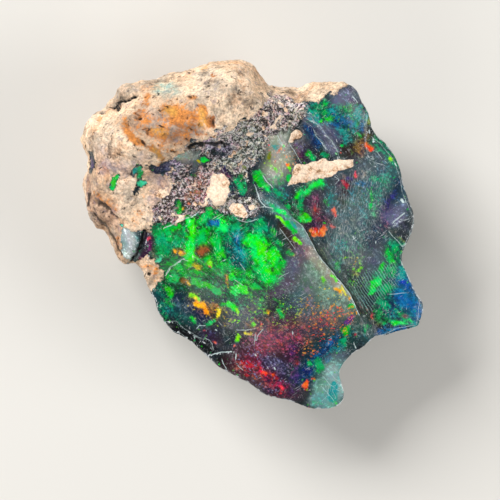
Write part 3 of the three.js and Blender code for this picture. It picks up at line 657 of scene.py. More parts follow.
    (Hue.GREEN, 0.25, 0.45, (-5.2, -3.9), (-4.8, -4.2)),
    (Hue.EMERALD, 0.3, 0.4, (-5.6, -4.3), (-5.3, -4.9)),
    (Hue.CORAL, 0.12, 0.8, (-2.35, -6.4)),
    (Hue.CORAL, 0.09, 0.7, (-1.15, -6.7)),
    (Hue.CORAL, 0.08, 0.6, (-2.95, -5.65)),
    (Hue.LIME, 0.15, 0.85, (-0.9, -6.1), (-1.0, -6.35)),
    (Hue.YELLOW, 0.11, 0.85, (-0.4, -5.8), (-0.1, -5.9)),
    (Hue.LIME, 0.12, 0.7, (0.0, -5.35)),
    (Hue.ORANGE, 0.1, 0.75, (0.5, -5.4)),
    (Hue.AMBER, 0.11, 0.8, (1.0, -4.45), (0.95, -4.65)),
    (Hue.LIME, 0.13, 0.65, (0.75, -4.6)),
    (Hue.GREEN, 0.16, 0.75, (1.5, -4.5), (1.7, -4.9)),
    (Hue.GREEN, 0.2, 0.45, (0.6, -3.6), (0.4, -4.2)),
    (Hue.GREEN, 0.16, 0.45, (1.3, -3.8), (1.8, -4.2)),
    # The red and purple foot.
    (Hue.RED, 0.09, 0.85, (-0.6, -7.5), (-0.55, -7.6)),
    (Hue.CRIMSON, 0.2, 0.64, (-0.3, -7.6), (-0.1, -7.9)),
    (Hue.RED, 0.11, 0.85, (0.5, -8.05), (0.7, -8.35)),
    (Hue.CRIMSON, 0.14, 0.68, (1.25, -8.5), (1.4, -8.7)),
    (Hue.RED, 0.07, 0.72, (1.2, -8.35)),
    (Hue.RED, 0.13, 0.85, (1.65, -9.2), (1.8, -9.3)),
    (Hue.RED, 0.06, 0.68, (1.65, -9.6)),
    (Hue.RED, 0.1, 0.77, (-0.5, -8.45), (-0.35, -8.5)),
    (Hue.CORAL, 0.06, 0.68, (0.1, -8.25)),
    (Hue.CORAL, 0.06, 0.68, (0.1, -8.6)),
    (Hue.RED, 0.15, 0.9, (3.25, -8.9), (3.1, -9.3)),
    (Hue.ORANGE, 0.06, 0.9, (3.8, -8.6)),
    (Hue.GREEN, 0.08, 0.9, (3.75, -8.75)),
    (Hue.RED, 0.07, 0.9, (3.6, -8.6)),
    (Hue.CRIMSON, 0.18, 0.51, (2.1, -9.1), (2.0, -9.5)),
    (Hue.CRIMSON, 0.14, 0.42, (2.7, -7.0), (2.6, -7.7)),
    (Hue.RED, 0.08, 0.8, (3.35, -10.35)),
    (Hue.CORAL, 0.1, 0.5, (1.4, -6.2), (1.7, -6.5)),
    (Hue.CORAL, 0.05, 0.68, (1.0, -6.95)),
    (Hue.GREEN, 0.18, 1.0, (5.7, -5.6), (5.6, -5.9)),
    (Hue.EMERALD, 0.18, 0.85, (5.3, -6.3), (5.5, -6.5)),
    (Hue.AZURE, 0.28, 0.44, (4.3, -6.8), (3.8, -7.3)),
    (Hue.AZURE, 0.25, 0.55, (4.6, -6.4), (5.0, -6.0)),
    (Hue.GREEN, 0.13, 0.95, (3.45, -7.75), (3.6, -7.8)),
    (Hue.EMERALD, 0.2, 0.8, (4.0, -7.5), (4.1, -8.1)),
    (Hue.DEEP_BLUE, 0.2, 0.56, (3.1, -8.2), (3.5, -8.1)),
    (Hue.VIOLET, 0.17, 0.8, (5.6, -5.2), (5.9, -4.9)),
    (Hue.AZURE, 0.2, 0.5, (4.6, -7.4), (4.4, -7.6)),
    (Hue.TEAL, 0.3, 0.85, (4.9, -9.1), (4.8, -9.6), (4.9, -9.9)),
    (Hue.BRIGHT_GREEN, 0.12, 0.85, (5.1, -10.2)),
    (Hue.EMERALD, 0.15, 0.5, (3.7, -10.0), (4.2, -10.2)),
    # Top right.
    (Hue.GREEN, 0.14, 0.72, (4.2, 7.75), (4.5, 7.65)),
    (Hue.EMERALD, 0.2, 0.8, (4.2, 7.2), (4.5, 7.3)),
    (Hue.BRIGHT_GREEN, 0.09, 0.81, (4.05, 6.7), (4.15, 6.9)),
    (Hue.GREEN, 0.14, 0.72, (4.35, 6.8), (4.6, 6.85)),
    (Hue.TEAL, 0.25, 0.6, (5.0, 7.4), (4.7, 7.5)),
    (Hue.GREEN, 0.15, 0.72, (5.8, 7.6), (6.0, 7.6)),
    (Hue.TEAL, 0.3, 0.8, (6.3, 7.5), (6.35, 6.9)),
    (Hue.BRIGHT_GREEN, 0.1, 0.81, (6.2, 6.6)),
    (Hue.AZURE, 0.18, 0.7, (6.5, 6.7), (6.55, 6.3)),
    (Hue.GREEN, 0.14, 0.59, (6.4, 6.1), (6.5, 5.95)),
    (Hue.TEAL, 0.22, 0.7, (5.3, 6.2), (5.5, 5.9)),
    (Hue.GREEN, 0.1, 0.9, (5.3, 5.35), (5.4, 5.4)),
    (Hue.BLUE, 0.2, 0.32, (3.4, 6.3), (3.75, 5.6), (3.95, 5.2)),
    (Hue.GREEN, 0.17, 0.9, (3.3, 4.9), (3.6, 4.65)),
    (Hue.EMERALD, 0.15, 0.75, (4.2, 4.8), (4.4, 4.65)),
    (Hue.GREEN, 0.12, 0.6, (4.9, 4.75)),
    (Hue.OLIVE, 0.12, 0.85, (7.0, 7.05), (7.0, 6.75)),
    (Hue.RED, 0.15, 1.0, (6.9, 5.35), (7.1, 5.2)),
    (Hue.CORAL, 0.1, 0.6, (5.2, 4.8)),
    (Hue.EMERALD, 0.22, 0.5, (7.6, 5.6), (7.9, 5.3)),
    (Hue.LIME, 0.12, 0.85, (8.3, 4.6)),
    # Windows of opal in the rock.
    (Hue.TEAL, 0.2, 0.4, (-4.3, 4.8), (-4.0, 4.75)),
    (Hue.EMERALD, 0.25, 0.75, (-0.9, 3.3), (-0.6, 2.6)),
    (Hue.YELLOW, 0.1, 0.95, (-3.25, 4.4), (-3.1, 4.35)),
    (Hue.BRIGHT_GREEN, 0.12, 0.9, (-2.9, 4.45), (-2.75, 4.4)),
    (Hue.LIME, 0.13, 0.4, (-3.5, 3.5)),
    (Hue.CORAL, 0.13, 0.85, (-3.8, 1.85)),
    (Hue.AMBER, 0.11, 0.8, (-4.2, 1.6)),
    (Hue.GREEN, 0.14, 0.8, (-4.5, 1.9), (-4.3, 1.4)),
    (Hue.OLIVE, 0.13, 0.6, (-5.5, 0.95)),
    (Hue.RUST, 0.2, 0.7, (-3.6, 2.5), (-3.1, 2.6)),
    (Hue.GREEN, 0.15, 1.0, (-8.4, 2.75), (-8.3, 3.2), (-8.15, 3.4)),
    (Hue.TEAL, 0.16, 0.9, (-7.05, 3.7), (-6.9, 3.8)),
    (Hue.EMERALD, 0.13, 0.95, (-6.7, 3.95), (-6.7, 3.4)),
    (Hue.MINT, 0.13, 0.95, (-6.7, 3.0), (-6.35, 3.1)),
    (Hue.MINT, 0.13, 0.8, (-7.75, 0.6)),
    (Hue.GREEN, 0.1, 0.6, (-7.15, -1.0)),
    (Hue.CORAL, 0.1, 0.7, (-6.2, -0.15), (-6.2, -0.3)),
)
# Where opal shows inside the crust's outline.
WINDOWS = drawn(
    Mark,
    (Hue.GLASS_WHITE, 0.15, 1.0, (-8.42, 2.75), (-8.32, 3.1), (-8.1, 3.4)),
    (Hue.GLASS_WHITE, 0.2, 1.0, (-7.1, 3.65), (-6.7, 4.0)),
    (Hue.GLASS_WHITE, 0.15, 1.0, (-6.75, 3.7), (-6.65, 3.3)),
    (Hue.GLASS_WHITE, 0.17, 1.0, (-6.75, 2.95), (-6.35, 3.1)),
    (Hue.GLASS_WHITE, 0.12, 1.0, (-7.05, 2.5), (-6.85, 2.75)),
    (Hue.GLASS_WHITE, 0.14, 1.0, (-5.7, 3.85), (-5.3, 4.0), (-4.9, 4.1)),
    (Hue.GLASS_WHITE, 0.16, 1.0, (-9.75, 4.9), (-9.6, 4.3), (-9.8, 3.8)),
    (Hue.GLASS_WHITE, 0.13, 1.0, (-7.8, 0.6)),
)
# Where opal shows through the sand.
SAND_GAPS = drawn(
    Mark,
    (Hue.GLASS_WHITE, 0.5, 0.95, (-4.2, 4.7), (-3.5, 4.6)),
    (Hue.GLASS_WHITE, 0.25, 0.9, (-3.3, 4.4), (-2.75, 4.4)),
    (Hue.GLASS_WHITE, 0.25, 0.8, (-3.5, 4.0), (-3.6, 3.6)),
    (Hue.GLASS_WHITE, 0.25, 0.8, (-4.5, 1.9), (-4.2, 1.5)),
    (Hue.GLASS_WHITE, 0.22, 0.7, (-1.8, 3.95), (-1.3, 3.5), (-1.25, 2.6)),
    (Hue.GLASS_WHITE, 0.4, 0.85, (-0.9, 3.3), (-0.5, 2.5)),
    (Hue.GLASS_WHITE, 0.25, 0.6, (-2.3, 5.0), (-1.7, 4.9)),
)
# Rust and ochre stains on the crust.
STAINS = drawn(
    Mark,
    (Hue.STAIN, 1.1, 0.62, (-6.6, 6.6), (-5.2, 6.6), (-3.4, 6.9)),
    (Hue.STAIN, 0.7, 0.5, (-6.4, 5.6), (-5.4, 5.0)),
    (Hue.STAIN, 0.7, 0.75, (-6.2, 6.4), (-4.8, 5.9), (-3.4, 6.1)),
    (Hue.STAIN_DEEP, 0.25, 0.55, (-5.2, 5.6), (-4.4, 5.7)),
    (Hue.STAIN, 0.35, 0.9, (-5.4, 7.5), (-4.6, 7.4), (-4.2, 7.2)),
    (Hue.STAIN, 0.4, 0.95, (-4.7, 6.8), (-4.2, 6.6)),
    (Hue.STAIN_YELLOW, 0.25, 0.8, (-5.1, 7.4), (-4.8, 7.4)),
    (Hue.STAIN_DEEP, 0.3, 0.6, (-4.6, 6.2), (-4.2, 6.3)),
    (Hue.STAIN, 0.28, 0.95, (-3.0, 7.5), (-2.8, 7.0), (-2.6, 6.7)),
    (Hue.STAIN_YELLOW, 0.2, 0.8, (-3.0, 7.2), (-2.9, 6.7), (-3.1, 6.4)),
    (Hue.STAIN_DEEP, 0.16, 0.95, (-2.35, 6.9), (-2.4, 6.5)),
    (Hue.STAIN_DEEP, 0.3, 0.6, (-3.4, 6.4), (-3.0, 6.0)),
    (Hue.STAIN, 0.25, 0.95, (-7.6, 6.8), (-7.5, 6.2), (-7.1, 5.7), (-6.6, 5.4), (-6.1, 5.2)),
    (Hue.STAIN, 0.3, 0.95, (-6.1, 5.2), (-5.6, 4.9), (-5.4, 4.5), (-5.5, 4.2)),
    (Hue.STAIN_YELLOW, 0.2, 0.8, (-5.8, 5.0), (-5.5, 4.6)),
    (Hue.STAIN_DEEP, 0.3, 0.55, (-6.9, 6.3), (-6.4, 6.0)),
    (Hue.STAIN, 0.25, 0.85, (-6.2, 8.3), (-6.3, 7.7), (-6.6, 7.3)),
    (Hue.STAIN_DEEP, 0.2, 0.7, (-6.6, 7.7), (-7.0, 7.2)),
    (Hue.STAIN_YELLOW, 0.22, 0.6, (-5.8, 6.2), (-5.3, 6.0)),
    (Hue.STAIN, 0.25, 0.6, (-5.4, 5.3), (-4.8, 4.9), (-4.4, 4.8)),
    (Hue.STAIN_DEEP, 0.3, 0.5, (-2.7, 5.9), (-2.3, 5.7)),
    (Hue.STAIN, 0.12, 0.9, (-0.95, 9.65)),
    (Hue.STAIN, 0.15, 0.7, (-3.7, 8.0), (-3.4, 8.0)),
    (Hue.STAIN_YELLOW, 0.2, 0.7, (-3.1, 9.9), (-2.7, 10.1)),
    (Hue.STAIN_DEEP, 0.1, 0.9, (-2.4, 9.5)),
    (Hue.STAIN, 0.25, 0.5, (-8.4, 5.2), (-8.3, 5.7)),
    (Hue.STAIN, 0.35, 0.55, (-9.1, 2.4), (-8.3, 1.7)),
    (Hue.STAIN_DEEP, 0.12, 0.9, (-7.4, 3.0)),
    (Hue.STAIN, 0.4, 0.45, (-6.6, 2.1), (-7.0, 0.8)),
    (Hue.STAIN, 0.3, 0.5, (-6.5, -1.8), (-5.9, -2.0), (-6.0, -2.8)),
    (Hue.STAIN_DEEP, 0.2, 0.5, (-8.2, -0.3), (-7.8, -1.2)),
    (Hue.STAIN, 0.2, 0.35, (4.6, 8.6), (4.0, 8.9)),
    (Hue.STAIN_DEEP, 0.2, 0.5, (-8.3, 7.6), (-7.9, 7.8)),
    (Hue.STAIN_YELLOW, 0.14, 0.7, (-9.2, 7.0)),
)
# The crust's own greyer and paler places.
GREYS = drawn(
    Mark,
    (Hue.SAND_GREY, 0.55, 0.7, (-8.4, 8.3), (-7.3, 8.9), (-6.2, 9.3)),
    (Hue.SAND_GREY, 0.4, 0.5, (-9.2, 5.9), (-9.4, 5.4)),
    (Hue.SAND_GREY, 0.35, 0.6, (-8.2, 6.4), (-8.0, 6.5)),
    (Hue.PALE_TEAL, 0.4, 0.85, (-5.5, 8.8), (-4.8, 8.6)),
    (Hue.GRAIN_MAUVE, 0.7, 0.5, (-6.2, 6.9), (-5.0, 6.2), (-3.9, 6.2)),
    (Hue.GRAIN_BROWN, 0.25, 0.6, (-6.9, 7.1), (-7.1, 6.6)),
    (Hue.GRAIN_BROWN, 0.3, 0.5, (-3.8, 7.6), (-3.6, 6.9)),
    (Hue.GRAIN_BROWN, 0.25, 0.6, (-5.2, 5.8), (-4.4, 5.5), (-3.8, 5.6)),
    (Hue.GRAIN_MAUVE, 0.5, 0.5, (-9.0, 5.0), (-8.8, 4.2)),
    (Hue.GRAIN_BROWN, 0.3, 0.55, (-9.5, 2.3), (-8.9, 1.5), (-8.5, 1.0)),
    (Hue.GRAIN_BROWN, 0.2, 0.5, (-8.9, 0.3), (-8.3, -0.7)),
    (Hue.SAND_GREY, 0.35, 0.5, (-5.3, 8.2), (-4.9, 8.4)),
    (Hue.SAND_GREY, 0.45, 0.6, (-3.9, 6.2), (-3.3, 6.1)),
    (Hue.SAND_GREY, 0.4, 0.5, (-1.9, 8.6), (-0.6, 8.5)),
    (Hue.SAND_GREY, 0.35, 0.5, (-2.9, 9.2), (-2.4, 8.9)),
    (Hue.SAND_GREY, 0.4, 0.6, (-9.9, 3.3), (-9.4, 3.4), (-9.0, 3.0)),
    (Hue.GRAIN_MAUVE, 0.5, 0.8, (-8.6, 1.5), (-9.3, 1.2), (-9.7, 2.2), (-9.9, 3.0)),
    (Hue.GRAIN_BROWN, 0.45, 0.75, (-9.8, 3.2), (-9.6, 2.2), (-9.3, 1.2), (-8.9, 0.6)),
    (Hue.GRAIN_MAUVE, 0.3, 0.7, (-8.6, 1.0), (-8.2, 0.2)),
    (Hue.SAND_BROWN, 0.9, 0.4, (-9.4, 3.6), (-9.0, 1.0), (-8.3, -0.5)),
    (Hue.SAND_BROWN, 0.3, 0.6, (-9.3, 2.6), (-8.9, 2.2), (-8.5, 1.9)),
    (Hue.SAND_BROWN, 0.4, 0.4, (-9.4, 4.4), (-9.2, 3.9)),
    (Hue.SAND_BROWN, 0.4, 0.6, (-8.9, 0.9), (-8.6, 0.4), (-8.1, -0.6), (-7.9, -1.2)),
    (Hue.GRAIN_MAUVE, 0.3, 0.5, (-7.9, 4.1), (-7.2, 4.3), (-6.5, 4.6)),
    (Hue.GRAIN_MAUVE, 0.5, 0.7, (-5.6, 3.5), (-5.3, 2.6), (-5.9, 1.9)),
    (Hue.GRAIN_MAUVE, 0.35, 0.65, (-8.9, 3.9), (-7.8, 4.2), (-7.6, 3.6)),
    (Hue.SAND_GREY, 0.3, 0.6, (-8.0, 2.4), (-7.6, 2.2)),
    (Hue.GRAIN_MAUVE, 0.3, 0.6, (1.2, 8.2), (1.9, 8.2)),
    (Hue.SAND_LIGHT, 0.6, 0.8, (-1.3, 7.6), (-0.3, 7.3), (-1.2, 7.0)),
    (Hue.SAND_LIGHT, 0.5, 0.6, (-9.2, 6.9), (-8.8, 6.6)),
    (Hue.SAND_LIGHT, 0.5, 0.6, (-7.8, 4.9), (-7.3, 4.7)),
    (Hue.SAND_LIGHT, 0.4, 0.6, (-6.4, 1.6), (-6.8, 1.1)),
    (Hue.SAND_LIGHT, 0.35, 0.7, (3.0, 8.3), (4.4, 8.4), (5.2, 9.0)),
)
# What the sand is like from place to place.
SAND_TINTS = drawn(
    Mark,
    (Hue.SAND_MIX_PALE, 0.9, 0.8, (0.9, 8.1), (2.4, 7.9), (3.0, 7.5)),
    (Hue.SAND_MIX_PALE, 0.5, 0.6, (0.3, 7.2), (1.4, 6.9)),
    (Hue.SAND_MIX_GREEN, 0.6, 0.7, (-0.4, 6.3), (0.2, 5.3)),
    (Hue.SAND_MIX_PLUM, 0.6, 0.6, (1.5, 7.6), (0.6, 6.8)),
    (Hue.SAND_MIX_PLUM, 0.9, 0.8, (-5.8, 1.5), (-4.6, 1.7), (-3.6, 2.2), (-3.2, 3.2)),
    (Hue.GRAIN_BROWN, 0.5, 0.6, (-3.4, 2.5), (-3.0, 2.8)),
    (Hue.LAVENDER, 0.4, 0.5, (-2.4, 5.3), (-1.6, 5.0)),
    (Hue.LAVENDER, 0.3, 0.5, (-5.2, 4.0), (-4.5, 4.2)),
    (Hue.SAND_MIX_PALE, 0.4, 0.7, (-2.4, 6.1), (-1.8, 5.9)),
    (Hue.SAND_MIX_GREEN, 0.5, 0.6, (-0.9, 2.6), (-0.6, 3.4)),
    (Hue.SAND_MIX_GREEN, 0.5, 0.7, (-1.6, 4.2), (-0.8, 4.6), (0.2, 5.0)),
)
# Places where small specks of colour crowd together, and the colour that most of them have.
SPECKS = drawn(
    Mark,
    (Hue.AMBER, 0.8, 0.7, (2.9, -4.7), (4.4, -4.6), (5.4, -4.8)),
    (Hue.ORANGE, 0.8, 0.7, (2.8, -5.7), (4.2, -5.6), (5.0, -5.4)),
    (Hue.AMBER, 0.5, 0.7, (3.2, -6.4), (3.4, -6.9)),
    (Hue.ROSE, 1.1, 0.8, (0.4, -6.6), (1.8, -6.1)),
    (Hue.LAVENDER, 0.7, 0.6, (-0.2, -7.4), (0.6, -8.5), (1.6, -9.2)),
    (Hue.LAVENDER, 0.5, 0.6, (1.2, -7.5), (1.9, -7.9)),
    (Hue.LIME, 0.7, 0.28, (-3.0, -4.2), (-1.0, -5.2)),
    (Hue.AMBER, 0.5, 0.28, (-3.4, -4.2), (-2.0, -4.9)),
    (Hue.LIME, 0.9, 0.4, (0.4, -4.4), (1.8, -4.4)),
    (Hue.GREEN, 0.9, 0.4, (-3.6, -2.2), (-1.0, -2.8)),
    (Hue.GREEN, 0.6, 0.4, (4.0, 7.0), (6.2, 7.2)),
    (Hue.YELLOW, 0.4, 0.35, (4.4, -3.2), (5.2, -3.6)),
    (Hue.GREEN, 0.5, 0.35, (1.6, 3.6), (1.4, 2.4)),
    (Hue.LIME, 0.6, 0.3, (5.8, -1.2), (6.4, -2.4)),
    (Hue.ORANGE, 0.6, 0.4, (1.3, 5.0), (2.0, 4.4)),
    (Hue.LIME, 0.4, 0.45, (1.2, 4.2), (1.9, 3.8)),
    (Hue.CORAL, 0.4, 0.4, (-3.9, 2.2), (-3.2, 2.9)),
)
SCRATCHES = drawn(
    Scratch,
    (0.04, 0.8, (-2.55, -7.2), (-2.3, -7.1), (-1.9, -7.05), (-1.3, -7.0)),
    (0.028, 0.6, (-2.9, -6.2), (-2.6, -6.35), (-2.45, -6.6), (-2.4, -6.9)),
    (0.03, 0.8, (-1.85, -7.5), (-1.6, -8.0)), (0.028, 0.7, (-0.95, -5.7), (-0.4, -5.65), (0.1, -5.6)),
    (0.035, 0.7, (0.6, -5.65), (0.3, -6.0), (0.2, -6.3)), (0.025, 0.6, (0.1, -5.9), (0.05, -6.6)),
    (0.03, 0.7, (-3.4, -5.6), (-3.2, -5.4), (-2.85, -5.4)),
    (0.026, 0.45, (-5.9, -4.3), (-5.4, -5.1), (-5.0, -5.7)),
    (0.026, 0.45, (-4.8, -5.75), (-4.3, -5.9), (-3.9, -6.3)),
    (0.026, 0.45, (-5.2, -5.2), (-4.6, -5.15), (-4.1, -5.6), (-3.6, -5.9), (-3.1, -6.2)),
    (0.024, 0.5, (3.0, 7.1), (3.4, 7.0), (3.7, 6.7), (4.1, 6.3), (4.5, 5.8), (4.8, 5.4), (5.1, 4.6)),
    (0.02, 0.4, (3.1, 6.8), (3.5, 6.5), (3.9, 6.0), (4.3, 5.4), (4.6, 4.9)),
    (0.03, 0.8, (4.0, 5.6), (4.4, 5.1)), (0.025, 0.6, (3.6, 6.3), (4.0, 5.6)),
    (0.03, 0.6, (2.1, 5.6), (2.9, 4.3)), (0.04, 0.8, (0.6, 3.5), (0.9, 3.1), (1.2, 2.8)),
    (0.03, 0.7, (1.4, 6.0), (1.6, 5.6)), (0.024, 0.5, (6.8, 6.5), (6.75, 5.5), (6.9, 4.8), (7.3, 4.2)),
    (0.025, 0.7, (7.0, 4.9), (7.4, 4.3), (7.9, 4.2)), (0.022, 0.6, (7.4, 5.0), (7.7, 4.6)),
    (0.045, 1.0, (5.95, 8.25), (6.2, 7.95)), (0.03, 0.6, (6.75, 7.9), (6.8, 7.2), (6.8, 6.6)),
    # Painted highlights: white glints on the glassy lumps and along the clear facet's edges at the right.
    (0.05, 0.9, (7.0, 6.3), (7.0, 6.1)), (0.05, 1.0, (7.2, 5.75), (7.2, 5.6)),
    (0.045, 1.0, (8.5, 4.3), (8.6, 4.15)), (0.1, 1.0, (8.87, 2.15), (9.0, 1.95)),
    (0.055, 0.8, (8.4, 0.75), (8.75, 1.05), (9.1, 1.3)),
    (0.025, 0.5, (8.35, 0.5), (9.0, 0.9), (9.4, 1.0)),
    (0.035, 0.6, (8.15, 0.2), (8.5, -0.15), (8.95, -0.7)),
    (0.03, 0.55, (9.65, 0.9), (9.55, 0.3), (9.3, -0.2), (8.98, -0.7)),
    (0.025, 0.7, (8.2, -3.55), (9.2, -3.5)), (0.035, 0.9, (6.1, -6.5), (6.2, -6.8)),
    (0.05, 0.9, (2.4, -5.8), (2.42, -5.9)), (0.05, 0.9, (0.12, -7.15), (0.18, -7.25)),
    (0.05, 0.9, (1.28, -7.95), (1.32, -8.05)), (0.04, 0.9, (-1.0, -7.15), (-1.05, -7.45)),
    (0.05, 0.8, (-3.5, -6.1), (-3.48, -6.15)), (0.05, 0.8, (-2.25, -5.7), (-2.2, -5.72)),
    (0.03, 0.7, (-0.9, -7.8), (-0.6, -8.1)), (0.035, 0.9, (7.35, -0.4), (7.36, -0.5)),
    (0.03, 0.9, (6.0, -0.1), (6.2, -0.3)), (0.03, 0.7, (6.2, -0.1), (6.0, -0.3)),
    (0.025, 0.7, (5.5, 1.55), (5.45, 1.4)), (0.03, 0.8, (3.9, -0.6), (4.05, -0.45)),
    (0.03, 0.7, (-1.75, -1.55), (-1.6, -1.45)), (0.025, 0.7, (-0.8, -1.7), (-0.5, -2.1)),
    (0.04, 0.8, (-4.95, -2.42), (-4.85, -2.48)), (0.025, 0.7, (-1.1, -2.7), (-0.6, -3.0)),
    (0.025, 0.6, (1.5, -2.6), (2.1, -2.2)),
    (0.03, 0.5, (-5.2, -2.3), (-5.0, -2.0), (-4.6, -1.7), (-4.2, -1.4), (-3.9, -1.5)),
    # Painted highlights: thin bright rims on the glassy edges.
    (0.03, 0.45, (7.1, 5.9), (7.6, 5.5), (8.4, 4.6), (8.85, 3.3), (8.98, 2.5), (9.5, 1.3)),
    (0.03, 0.55, (9.15, -2.1), (9.7, -3.1), (10.0, -3.9), (9.95, -4.6), (9.9, -5.3)),
    (0.03, 0.5, (9.8, -5.45), (8.7, -5.6), (7.3, -6.25)),
    # Fibres in the clear tip.
    (0.022, 0.6, (4.2, -8.5), (4.6, -9.0), (5.2, -9.4)),
    (0.02, 0.5, (4.5, -8.2), (5.0, -8.7), (5.5, -8.9)),
    (0.022, 0.6, (4.1, -9.1), (4.5, -9.5), (4.9, -10.0)), (0.02, 0.5, (4.9, -8.0), (5.3, -8.4)),
    (0.02, 0.5, (4.6, -9.0), (4.5, -9.7), (4.2, -10.0)),
    (0.018, 0.5, (5.1, -8.9), (4.8, -9.4), (5.0, -9.8)),
    # White threads where the sand meets the green floor, partly a painted highlight on the sand's raised edge.
    (0.04, 0.7, (-5.3, 0.35), (-4.5, 0.85), (-3.7, 1.05), (-3.2, 1.45)),
    (0.03, 0.65, (-1.0, 0.95), (-0.4, 0.75), (0.2, 0.95)),
    (0.035, 0.75, (0.1, 3.0), (0.4, 2.1), (0.8, 1.6)), (0.03, 0.65, (-0.2, 1.4), (0.4, 1.65), (1.2, 1.6)),
    (0.025, 0.6, (1.6, 0.35), (2.2, -0.4), (2.5, -0.8)), (0.03, 0.5, (3.3, 3.4), (3.9, 3.55)),
    (0.03, 0.6, (4.9, 3.5), (5.2, 3.3), (5.0, 3.1)),
    # The long ledge's lip: a painted highlight along its edge, then a painted shadow on the ground below it.
    (0.04, 0.7, (2.45, 0.95), (2.95, 0.55), (3.25, -0.05), (3.55, -0.55), (3.95, -1.25)),
    (0.05, 0.8, (3.95, -1.25), (4.45, -1.85), (4.95, -2.45), (5.45, -3.05), (5.75, -3.45),
     (6.05, -4.05), (6.35, -4.75)),
    # Painted shadow at the foot of the long ledge.
    (0.12, -0.7, (3.3, 0.35), (3.55, -0.1), (3.85, -0.7), (4.3, -1.3), (4.8, -1.95)),
    (0.14, -0.75, (4.8, -1.95), (5.3, -2.6), (5.85, -3.25), (6.25, -3.95), (6.6, -4.6)),
    # Painted shade: dark lines in the rock's cracks and pits.
    (0.09, -1.0, (-9.15, 7.35), (-8.65, 7.75), (-8.2, 7.95), (-7.6, 8.1), (-6.9, 8.45)),
    (0.15, -1.0, (-8.6, 7.72), (-8.1, 7.85), (-7.8, 7.98)), (0.13, -0.95, (-8.25, 7.6), (-8.05, 7.6)),
    # Painted shadow along the foot of the overhanging crust.
    (0.14, -1.0, (-3.8, 5.1), (-3.4, 5.35), (-2.9, 5.35)),
    (0.1, -0.95, (-2.9, 5.35), (-2.3, 5.35), (-1.8, 5.5)), (0.07, -0.9, (0.4, 7.5), (1.1, 7.4)),
    (0.11, -0.85, (-9.85, 2.5), (-9.85, 1.8)),
    (0.07, -0.8, (-9.6, 1.3), (-9.0, 0.6), (-8.4, -0.3), (-7.9, -1.2)),
    (0.15, -0.8, (-9.3, 1.95), (-9.0, 1.7), (-8.75, 1.5)),
    (0.12, -0.8, (-8.7, 1.35), (-8.4, 1.2), (-8.2, 0.95)), (0.16, -1.0, (-6.85, 7.05), (-6.75, 6.9)),
    (0.08, -0.9, (-5.55, 6.5), (-5.3, 6.4)), (0.09, -0.9, (-6.65, 5.6), (-6.45, 5.3)),
    (0.07, -0.9, (-5.6, 7.5), (-5.5, 7.35)), (0.08, -0.9, (-3.85, 9.8), (-3.75, 9.75)),
    (0.05, -0.7, (-0.9, 8.4), (-0.8, 8.3)),
    (0.08, -1.0, (-6.45, 0.25), (-6.58, -0.4), (-6.95, -1.1), (-7.3, -1.65)),
    (0.1, -0.9, (-6.25, -2.3), (-6.15, -2.35)), (0.05, -0.7, (-6.15, -1.4), (-6.05, -1.4)),
    (0.07, -0.8, (-3.9, 1.15), (-3.6, 0.95)), (0.06, -0.7, (-2.35, 6.75), (-2.3, 6.45)),
)
STEPS = drawn(
    Step,
    # The long ledge, from its foot upwards.
    (0.26, 0.7, (6.4, -4.7), (6.1, -4.0), (5.8, -3.4), (5.5, -3.0), (5.0, -2.4), (4.5, -1.8),
     (4.0, -1.2), (3.6, -0.5), (3.3, 0.0), (3.0, 0.6), (2.5, 1.0)),
    # Terraces along the lower left edge.
    (0.12, 0.8, (-2.3, -6.9), (-2.7, -6.5), (-3.3, -6.2), (-3.9, -5.7), (-4.6, -5.2), (-5.5, -5.1)),
    (0.1, 0.5, (-3.2, -6.75), (-3.8, -6.3), (-4.4, -5.8), (-4.9, -5.7), (-5.5, -5.3)),
    (0.12, 0.7, (-1.3, -7.0), (-1.9, -7.05), (-2.6, -7.15)),
    # Shells broken out of the top right edge.
    (0.1, 0.7, (7.3, 4.2), (6.9, 4.8), (6.75, 5.5), (6.8, 6.5)),
    (0.07, 0.4, (7.9, 4.2), (7.4, 4.3), (7.0, 4.9)),
    (0.1, 0.5, (9.3, 1.3), (8.6, 0.7)),
    # The shallow shell at the left and the flat facet above the pale leaf.
    (0.08, 0.9, (-3.9, -1.5), (-4.2, -1.4), (-4.6, -1.7), (-5.0, -2.0), (-5.2, -2.3)),
    (0.12, 0.8, (5.1, 4.6), (4.8, 5.4), (4.5, 5.8), (4.1, 6.3), (3.7, 6.7), (3.0, 7.1)),
)
